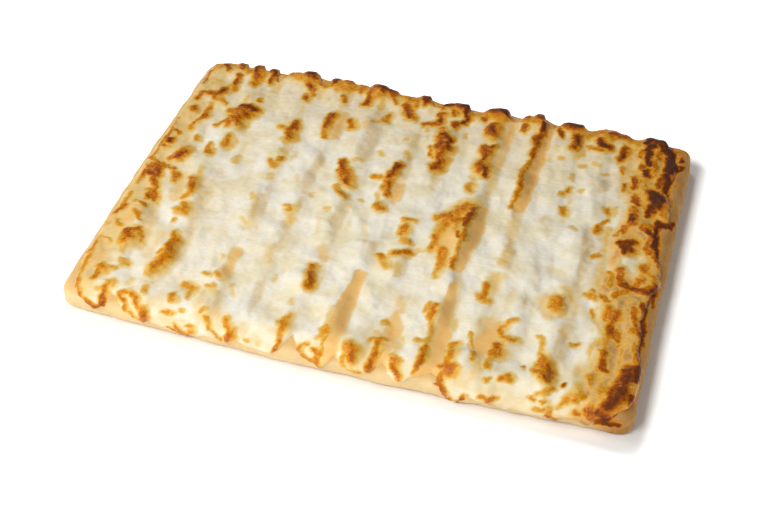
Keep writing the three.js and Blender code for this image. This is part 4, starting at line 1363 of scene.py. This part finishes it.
@dataclass(frozen=True)
class CrustFinish:
    """Baked dough: tan and dull, mottled. A noise is given by its size and its detail."""

    dough: tuple[tuple[float, Colour], ...] = (
        (0.0, Colour(232, 207, 158)),
        (0.28, Colour(217, 178, 117)),
        (0.6, Colour(166, 114, 56)),
        (1.0, Colour(124, 76, 34)),
    )
    mottle: Pair = (9.0, 3.0)
    mottle_swing: float = 0.24
    grain: Pair = (1.6, 3.0)
    grain_swing: float = 0.14
    speckle: Pair = (2.2, 4.0)
    speckle_swing: float = 0.7
    speckle_span: Pair = (0.04, 0.35)
    toast_span: Pair = (0.25, 0.5)
    relief: Pair = (0.25, 0.35)
    roughness: float = 0.7
    specular: float = 0.03
    glow: float = 0.08
    glow_radius: Triple = (0.004, 0.002, 0.001)

    def material(self) -> bpy.types.Material:
        """The finish as a material that reads the crust's bake and toast."""
        graph = Graph("baked_crust")
        grain = graph.noise(*self.grain)
        baked = graph.add(graph.attribute("bake"), graph.swing(graph.noise(*self.mottle), self.mottle_swing))
        baked = graph.add(baked, graph.swing(grain, self.grain_swing))
        toast = graph.attribute("toast")
        speckle = graph.swing(graph.noise(*self.speckle), self.speckle_swing)
        toasted = graph.add(toast, graph.times(speckle, graph.rise(toast, self.speckle_span)))
        cover = graph.rise(toasted, self.toast_span)
        dough = graph.ramp(baked, self.dough)
        graph.give("Base Color", graph.mix(cover, dough, graph.ramp(toasted, TOAST_STOPS)))
        graph.give("Roughness", self.roughness)
        graph.give("Specular IOR Level", self.specular)
        graph.give("Subsurface Weight", self.glow)
        graph.give("Subsurface Radius", self.glow_radius)
        graph.give("Normal", graph.bump(grain, *self.relief))
        return graph.material


@dataclass(frozen=True)
class CheeseFinish:
    """Melted cheese: creamy white, tan where it is thin, toasted to orange and brown in glossy marks.

    Pale specks on the marks are painted glints, and the beige on slopes that face right and in valleys is
    painted shade. A noise is given by its size, its detail and sometimes its stretch.
    """

    cream: Colour = Colour(237, 233, 222)
    butter: Colour = Colour(230, 218, 184)
    beige: Colour = Colour(225, 196, 140)
    thin: Colour = Colour(234, 185, 110)
    rim: Colour = Colour(186, 134, 70)
    # Colour of the painted glints: pale specks on the marks in place of glossy highlights.
    painted_glint: Colour = Colour(246, 226, 192)
    cloud: Pair = (16.0, 4.0)
    cloud_span: Pair = (0.38, 0.66)
    grit: Pair = (0.9, 3.0)
    grit_span: Pair = (0.4, 0.66)
    grit_share: float = 0.5
    streak: tuple[float, float, Triple] = (1.7, 4.0, (0.4, 1.0, 1.0))
    streak_span: Pair = (0.42, 0.66)
    streak_share: float = 0.18
    thin_grain: Pair = (3.6, 5.0)
    thin_swing: float = 0.8
    thin_gate: Pair = (0.1, 0.6)
    beige_span: Pair = (0.05, 0.6)
    thin_span: Pair = (0.5, 1.0)
    rim_span: Pair = (0.9, 1.7)
    fine: Pair = (2.0, 4.0)
    fine_swing: float = 0.28
    coarse: Pair = (4.5, 3.0)
    coarse_swing: float = 0.34
    speckle_gate: Pair = (0.06, 0.36)
    crackle: Pair = (1.7, 3.5)
    crackle_swing: float = 0.5
    crackle_gate: Pair = (0.2, 0.5)
    late_span: Pair = (0.3, 1.2)
    late_by: float = 0.11
    toast_span: Pair = (0.03, 0.17)
    # Painted glints on the toasted marks: noise size and detail, where they show, how strong, and the toast
    # over which they fade.
    painted_glints: Pair = (1.6, 2.0)
    painted_glint_span: Pair = (0.68, 0.75)
    painted_glint_share: float = 0.5
    painted_glint_end: Pair = (0.62, 0.78)
    roughness: float = 0.4
    gloss: float = 0.2
    gloss_span: Pair = (0.2, 0.5)
    specular: float = 0.12
    shine: float = 0.2
    shine_span: Pair = (0.25, 0.55)
    dull_span: Pair = (0.66, 0.82)
    dull_share: float = 0.15
    glow: float = 0.06
    glow_radius: Triple = (0.004, 0.003, 0.0018)
    strands: tuple[float, float, Triple] = (1.7, 4.0, (0.5, 1.0, 1.0))
    strand_relief: Pair = (0.3, 0.5)
    pits: Pair = (2.2, 3.0)
    pit_gate: Pair = (0.1, 0.6)
    pit_relief: Pair = (0.8, 1.1)

    def body(self, graph: Graph, thinned_and_shaded: Socket) -> Socket:
        """Colour of the cheese before it is toasted.

        Args:
            graph: The material's nodes.
            thinned_and_shaded: How much of the crust's colour comes through, with the painted shade.

        Returns:
            The colour: cream with butter in it, tan where the cheese is thin, and beige where shade
            is painted on slopes that face right and in valleys.
        """
        body = graph.mix(graph.rise(graph.noise(*self.cloud), self.cloud_span), self.cream, self.butter)
        grit = graph.rise(graph.noise(*self.grit), self.grit_span, 0.0, self.grit_share)
        body = graph.mix(grit, body, self.butter)
        streak = graph.rise(graph.noise(*self.streak), self.streak_span, 0.0, self.streak_share)
        body = graph.mix(streak, body, self.butter)
        for span, colour in (
            (self.beige_span, self.beige), (self.thin_span, self.thin), (self.rim_span, self.rim)
        ):
            body = graph.mix(graph.rise(thinned_and_shaded, span), body, colour)
        return body

    def material(self) -> bpy.types.Material:
        """The finish as a material that reads the cheese's toast, and its thinness with the painted shade in
        it.
        """
        graph = Graph("toasted_cheese")
        # The thin layer carries painted shade as well as thin cheese.
        thin = graph.attribute("thin")
        thin_grain = graph.swing(graph.noise(*self.thin_grain), self.thin_swing)
        thinned_and_shaded = graph.add(thin, graph.times(thin_grain, graph.rise(thin, self.thin_gate)))
        toast = graph.attribute("toast")
        gate = graph.rise(toast, self.speckle_gate)
        fine = graph.swing(graph.noise(*self.fine), self.fine_swing)
        coarse = graph.swing(graph.noise(*self.coarse), self.coarse_swing)
        speckle = graph.times(graph.add(fine, coarse), gate)
        crackle = graph.swing(graph.noise(*self.crackle), self.crackle_swing)
        crackle = graph.times(crackle, graph.rise(toast, self.crackle_gate))
        toasted = graph.add(toast, graph.add(speckle, crackle))
        late = graph.math("SUBTRACT", toasted, graph.rise(thinned_and_shaded, self.late_span, 0.0, self.late_by))
        cover = graph.rise(late, self.toast_span)
        colour = graph.mix(cover, self.body(graph, thinned_and_shaded), graph.ramp(toasted, TOAST_STOPS))
        # Painted glints: pale specks put into the marks' colour in place of highlights.
        painted_glints = graph.rise(graph.noise(*self.painted_glints), self.painted_glint_span, 0.0, self.painted_glint_share)
        painted_glints = graph.times(graph.times(painted_glints, gate), graph.rise(toasted, self.painted_glint_end, 1.0, 0.0))
        graph.give("Base Color", graph.mix(painted_glints, colour, self.painted_glint))
        shine = graph.rise(toasted, self.shine_span, self.specular, self.shine)
        shine = graph.times(shine, graph.rise(toasted, self.dull_span, 1.0, self.dull_share))
        graph.give("Specular IOR Level", shine)
        graph.give("Roughness", graph.rise(toasted, self.gloss_span, self.roughness, self.gloss))
        graph.give("Subsurface Weight", self.glow)
        graph.give("Subsurface Radius", self.glow_radius)
        strands = graph.bump(graph.noise(*self.strands), *self.strand_relief)
        pits = graph.times(graph.noise(*self.pits), graph.rise(toast, self.pit_gate))
        graph.give("Normal", graph.bump(pits, *self.pit_relief, strands))
        return graph.material


def sheet_grid(half: Pair, middle: Pair, cell: float) -> bmesh.types.BMesh:
    """A level grid in sheet places, in millimetres.

    Args:
        half: Half sizes along and across.
        middle: Middle of the grid.
        cell: Size of a cell.

    Returns:
        The grid.
    """
    grid = bmesh.new()
    bmesh.ops.create_grid(
        grid,
        x_segments=round(2 * half[0] / cell),
        y_segments=round(2 * half[1] / cell),
        size=1.0,
        matrix=Matrix.Translation((*middle, 0.0)) @ Matrix.Diagonal((*half, 1.0, 1.0)),
    )
    return grid


def finished(name: str, shape: bmesh.types.BMesh, material: bpy.types.Material) -> bpy.types.Object:
    """A bmesh turned into a smooth piece in the scene.

    Args:
        name: Name of the piece.
        shape: Its mesh, in metres.
        material: Its finish.

    Returns:
        The piece.
    """
    bmesh.ops.recalc_face_normals(shape, faces=shape.faces)
    for face in shape.faces:
        face.smooth = True
    mesh = bpy.data.meshes.new(name)
    shape.to_mesh(mesh)
    shape.free()
    mesh.materials.append(material)
    piece = bpy.data.objects.new(name, mesh)
    bpy.context.scene.collection.objects.link(piece)
    triangles = sum(len(polygon.vertices) - 2 for polygon in mesh.polygons)
    log.info("%s: %d triangles", name, triangles)
    return piece


def places_of(shape: bmesh.types.BMesh) -> tuple[np.ndarray, np.ndarray]:
    """Sheet places of a grid's vertices, which are numbered on the way."""
    shape.verts.index_update()
    flat = np.array([(vertex.co.x, vertex.co.y) for vertex in shape.verts])
    return flat[:, 0], flat[:, 1]


def write_layer(shape: bmesh.types.BMesh, name: str, values: np.ndarray) -> None:
    """Stores one number at each vertex, under a name."""
    layer = shape.verts.layers.float.new(name)
    for vertex, value in zip(shape.verts, values.tolist()):
        vertex[layer] = value


@dataclass
class Bread:
    """The baked slab under the cheese."""

    loaf: Loaf
    oven: Oven
    melt: Melt
    finish: CrustFinish
    cell: float = 1.35
    sunk: float = 0.5
    sunk_span: Pair = (0.3, 2.5)
    upright_span: Pair = (-0.8, -0.1)
    wall_bake: float = 0.07
    wall_span: Pair = (2.0, 7.0)
    flank_bake: float = 0.26
    right_bake: float = 0.5
    right_span: Pair = (132.0, 146.0)
    back_bake: float = 0.42
    back_span: Pair = (99.0, 106.0)
    sole_bake: float = 0.42
    sole_span: Pair = (-2.4, 0.0)

    def bake(self, patch: Patch) -> np.ndarray:
        """How far the bare crust has browned.

        Args:
            patch: The crust's surface.

        Returns:
            The bake from 0, pale, to 1, deep brown.
        """
        side = smoothstep(patch.below_rim, *self.wall_span)
        bake = self.flank_bake + (self.wall_bake - self.flank_bake) * side
        for level, share in (
            (self.back_bake, smoothstep(patch.v, *self.back_span)),
            (self.right_bake, smoothstep(patch.plan_x, *self.right_span)),
            (self.sole_bake, smoothstep(-patch.points[:, 2], *self.sole_span)),
        ):
            bake = bake + (level - bake) * share
        return bake

    def build(self) -> bmesh.types.BMesh:
        """The crust from heel to heel, closed by a flat sole.

        Returns:
            The mesh in metres, with its bake and toast.
        """
        shape = sheet_grid(self.loaf.sheet, (0.0, 0.0), self.cell)
        patch = self.loaf.patch(*places_of(shape))
        brown, _ = self.oven.toast(patch)
        write_layer(shape, "bake", self.bake(patch))
        write_layer(shape, "toast", brown)
        covered = smoothstep(self.melt.inside(patch), *self.sunk_span)
        covered = covered * smoothstep(patch.normals[:, 2], *self.upright_span)
        points = patch.points - patch.normals * (self.sunk * covered)[:, None]
        points[:, 2] = np.maximum(points[:, 2], 0.0)
        placed = self.loaf.place(points)
        for vertex, point in zip(shape.verts, placed.tolist()):
            vertex.co = point
        rim = [edge for edge in shape.edges if edge.is_boundary]
        bmesh.ops.holes_fill(shape, edges=rim, sides=0)
        return shape

    def dress(self) -> bpy.types.Object:
        """The finished bread, riding on the loaf."""
        piece = finished("bread_crust", self.build(), self.finish.material())
        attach(piece, BODY)
        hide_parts("bread")
        return piece


@dataclass
class Cheese:
    """The sheet of melted cheese."""

    loaf: Loaf
    oven: Oven
    melt: Melt
    tint: Tint
    finish: CheeseFinish
    cell: float = 0.87
    coarser: int = 4
    half: Pair = (153.0, 115.0)
    middle: Pair = (0.0, -2.0)
    under: float = 0.5
    under_edge: float = 0.3
    hang: float = 0.6
    bare_below: float = -0.8
    thin_span: Pair = (0.05, 0.6)
    stain_drift: Grain = Grain(7, 10, 97.1, 3, 1.6)
    stain_reach: float = 4.5
    edge_patches: Grain = Grain(9, 9, 31.3)
    patch_span: Pair = (-0.25, 0.3)
    edge_width: Pair = (0.5, 2.3)
    edge_front: Pair = (96.0, 104.0)
    edge_right: Pair = (128.0, 140.0)
    edge_back: Pair = (94.0, 100.0)
    edge_level: float = 0.42
    lip_level: float = 0.56
    lip_end: float = 1.0
    right_level: float = 0.55
    right_least: float = 0.7
    back_level: float = 0.32
    back_least: float = 0.8

    def edge_toast(self, patch: Patch, outer: np.ndarray) -> np.ndarray:
        """Browning along the cheese's outer edge, stronger at the right and the front.

        Args:
            patch: The surface.
            outer: Distance from the outer edge.

        Returns:
            The browning that the edge adds.
        """
        x, y = patch.plan_x, patch.plan_y
        patchy = smoothstep(self.edge_patches.at(x, y), *self.patch_span)
        front = smoothstep(-y, *self.edge_front)
        right = smoothstep(x, *self.edge_right)
        back = smoothstep(patch.v, *self.edge_back)
        lips = np.zeros_like(front)
        for start, end in TOASTED_LIPS:
            lip = smoothstep(x, start - self.lip_end, start + self.lip_end)
            lips = np.maximum(lips, lip * smoothstep(-x, -end - self.lip_end, self.lip_end - end))
        level = self.edge_level * (1.0 - front) + self.lip_level * front * lips
        level = level + self.right_level * right + self.back_level * back
        patchy = np.maximum(patchy, np.maximum(self.back_least * back, self.right_least * right))
        return level * (1.0 - smoothstep(outer, *self.edge_width)) * patchy

    def thinness(self, patch: Patch, height: np.ndarray, veil: np.ndarray) -> np.ndarray:
        """How thin the cheese looks, from its height, the flanks, the tint and the stains, with the painted
        shade that the tint carries.

        Args:
            patch: The surface.
            height: Height over the crust.
            veil: Thinness on the flanks.

        Returns:
            The thinness, painted shade included, from 0 to about 1.7.
        """
        x, y = patch.plan_x, patch.plan_y
        drift = self.stain_drift.at(x, y)
        thin = np.maximum(1.0 - smoothstep(height, *self.thin_span), self.tint.over(patch, self.loaf))
        thin = np.maximum(thin, veil)
        for amount, *row in STAINS:
            stroke = Stroke(*row)
            stain = 1.0 - smoothstep(stroke.gap(x, y) + drift, -stroke.half, self.stain_reach)
            thin = np.maximum(thin, amount * stain)
        return thin

    def above_floor(self, points: np.ndarray) -> list[list[float]]:
        """Points in the part's frame, none of them lower than the cheese hangs."""
        points[:, 2] = np.maximum(points[:, 2], self.hang)
        return self.loaf.place(points).tolist()

    def build(self) -> bmesh.types.BMesh:
        """The sheet, with its lobes, filmed flanks and bubbles, as a closed skin.

        Returns:
            The mesh in metres, with its toast and thinness.
        """
        shape = sheet_grid(self.half, self.middle, self.cell)
        patch = self.loaf.patch(*places_of(shape))
        brown, bubbles = self.oven.toast(patch)
        height, outer, veil = self.melt.thickness(patch, brown, bubbles)
        write_layer(shape, "toast", np.maximum(brown, self.edge_toast(patch, outer)))
        # This layer holds thin cheese and also painted shade on slopes that face right, in valleys and over
        # the far half.
        write_layer(shape, "thin", self.thinness(patch, height, veil))
        number = shape.verts.layers.int.new("number")
        for vertex in shape.verts:
            vertex[number] = vertex.index
        empty = outer < self.bare_below
        unused = [face for face in shape.faces if all(empty[vertex.index] for vertex in face.verts)]
        bmesh.ops.delete(shape, geom=unused, context="FACES")
        shell = bmesh.ops.extrude_face_region(shape, geom=shape.faces[:], use_keep_orig=True)
        upper = {part for part in shell["geom"] if isinstance(part, bmesh.types.BMVert)}
        sunk = np.minimum(height - self.under_edge, 0.0) - self.under
        top = self.above_floor(patch.points + patch.normals * height[:, None])
        bottom = self.above_floor(patch.points + patch.normals * sunk[:, None])
        for vertex in shape.verts:
            vertex.co = top[vertex[number]] if vertex in upper else bottom[vertex[number]]
        lower = [vertex for vertex in shape.verts if vertex not in upper]
        hidden = [v for v in lower if not any(edge.other_vert(v) in upper for edge in v.link_edges)]
        bmesh.ops.unsubdivide(shape, verts=hidden, iterations=self.coarser)
        shape.verts.layers.int.remove(number)
        return shape

    def dress(self) -> bpy.types.Object:
        """The finished cheese, riding on the loaf."""
        piece = finished("melted_cheese", self.build(), self.finish.material())
        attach(piece, BODY)
        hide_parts("cheese")
        return piece


def direction(azimuth: float, elevation: float) -> Vector:
    """Unit vector from the loaf, by degrees round from the front and degrees up."""
    turn = math.radians(azimuth)
    lift = math.radians(elevation)
    return Vector((math.sin(turn) * math.cos(lift), -math.cos(turn) * math.cos(lift), math.sin(lift)))


@dataclass(frozen=True)
class Lamp:
    """A soft square light that looks at the loaf. Its distance and size are in metres."""

    name: str
    azimuth: float
    elevation: float
    distance: float
    size: float
    power: float
    glare: bool = True

    def build(self) -> bpy.types.Object:
        """The light in the scene."""
        data = bpy.data.lights.new(self.name, "AREA")
        data.size = self.size
        data.energy = self.power
        lamp = bpy.data.objects.new(self.name, data)
        lamp.visible_glossy = self.glare
        place = direction(self.azimuth, self.elevation) * self.distance
        lamp.location = place
        lamp.rotation_euler = (-place).to_track_quat("-Z", "Y").to_euler()
        bpy.context.scene.collection.objects.link(lamp)
        return lamp


@dataclass(frozen=True)
class Studio:
    """The pale floor, which glows as painted light away from the loaf, the soft light and the camera. Lengths
    are in metres.
    """

    sight: Sight = Sight()
    target: Triple = (-0.0005, -0.0155, 0.0)
    distance: float = 0.7315
    lens: float = 62.57
    sensor: float = 36.0
    nearest: float = 0.01
    floor_half: float = 3.0
    floor_colour: Colour = Colour(252, 252, 252)
    floor_roughness: float = 0.9
    floor_specular: float = 0.1
    # Painted light: the floor glows beyond a ring a few millimetres off the loaf's foot, washing out cast
    # shadows.
    floor_painted_light: float = 0.62
    painted_light_colour: tuple[float, float, float, float] = (1.0, 1.0, 1.0, 1.0)
    painted_light_ring: Pair = (0.004, 0.014)
    foot: Triple = (0.149, 0.106, 1.0)
    sky: float = 0.15
    sky_colour: tuple[float, float, float, float] = (1.0, 0.95, 0.84, 1.0)
    lamps: tuple[Lamp, ...] = (
        Lamp("back_light", -142.0, 62.0, 1.5, 0.3, 3.8),
        Lamp("side_light", -80.0, 36.0, 2.0, 0.4, 10.8),
        Lamp("left_light", -42.0, 38.0, 0.9, 0.2, 2.1),
        Lamp("front_light", -10.0, 46.0, 0.6, 0.16, 1.2),
        Lamp("right_light", 78.0, 34.0, 1.3, 0.5, 2.4, False),
    )

    def floor(self) -> bpy.types.Object:
        """A wide floor under the loaf that glows, as painted light, from a little way off its foot, which
        whitens the cast shadows there.
        """
        shape = bmesh.new()
        bmesh.ops.create_grid(shape, x_segments=1, y_segments=1, size=self.floor_half)
        graph = Graph("pale_floor")
        graph.give("Base Color", self.floor_colour.linear)
        graph.give("Roughness", self.floor_roughness)
        graph.give("Specular IOR Level", self.floor_specular)
        graph.give("Emission Color", self.painted_light_colour)
        # Painted light: the glow rises from nothing near the foot to full a little way off.
        glow = graph.rise(graph.beyond(self.foot), self.painted_light_ring, 0.0, self.floor_painted_light)
        graph.give("Emission Strength", glow)
        return finished("floor", shape, graph.material)

    def camera(self) -> bpy.types.Object:
        """The camera at the viewing angle."""
        data = bpy.data.cameras.new("camera")
        data.lens = self.lens
        data.sensor_width = self.sensor
        data.clip_start = self.nearest
        camera = bpy.data.objects.new("camera", data)
        away = direction(self.sight.azimuth, self.sight.elevation) * self.distance
        camera.location = Vector(self.target) + away
        camera.rotation_euler = (-away).to_track_quat("-Z", "Y").to_euler()
        bpy.context.scene.collection.objects.link(camera)
        bpy.context.scene.camera = camera
        return camera

    def build(self) -> None:
        """Sets the floor, the sky, the lamps and the camera."""
        self.floor()
        world = bpy.data.worlds.new("studio")
        world.use_nodes = True
        background = world.node_tree.nodes["Background"]
        background.inputs["Color"].default_value = self.sky_colour
        background.inputs["Strength"].default_value = self.sky
        bpy.context.scene.world = world
        for lamp in self.lamps:
            lamp.build()
        self.camera()
        bpy.context.scene.view_settings.view_transform = "Standard"
        log.info("studio: %d lamps", len(self.lamps))


def main() -> None:
    """Builds the loaf and its studio."""
    logging.basicConfig(level=logging.INFO)
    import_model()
    loaf = Loaf.from_frame()
    oven = Oven()
    melt = Melt()
    Bread(loaf, oven, melt, CrustFinish()).dress()
    Cheese(loaf, oven, melt, Tint(), CheeseFinish()).dress()
    Studio().build()


if __name__ == "__main__":
    main()
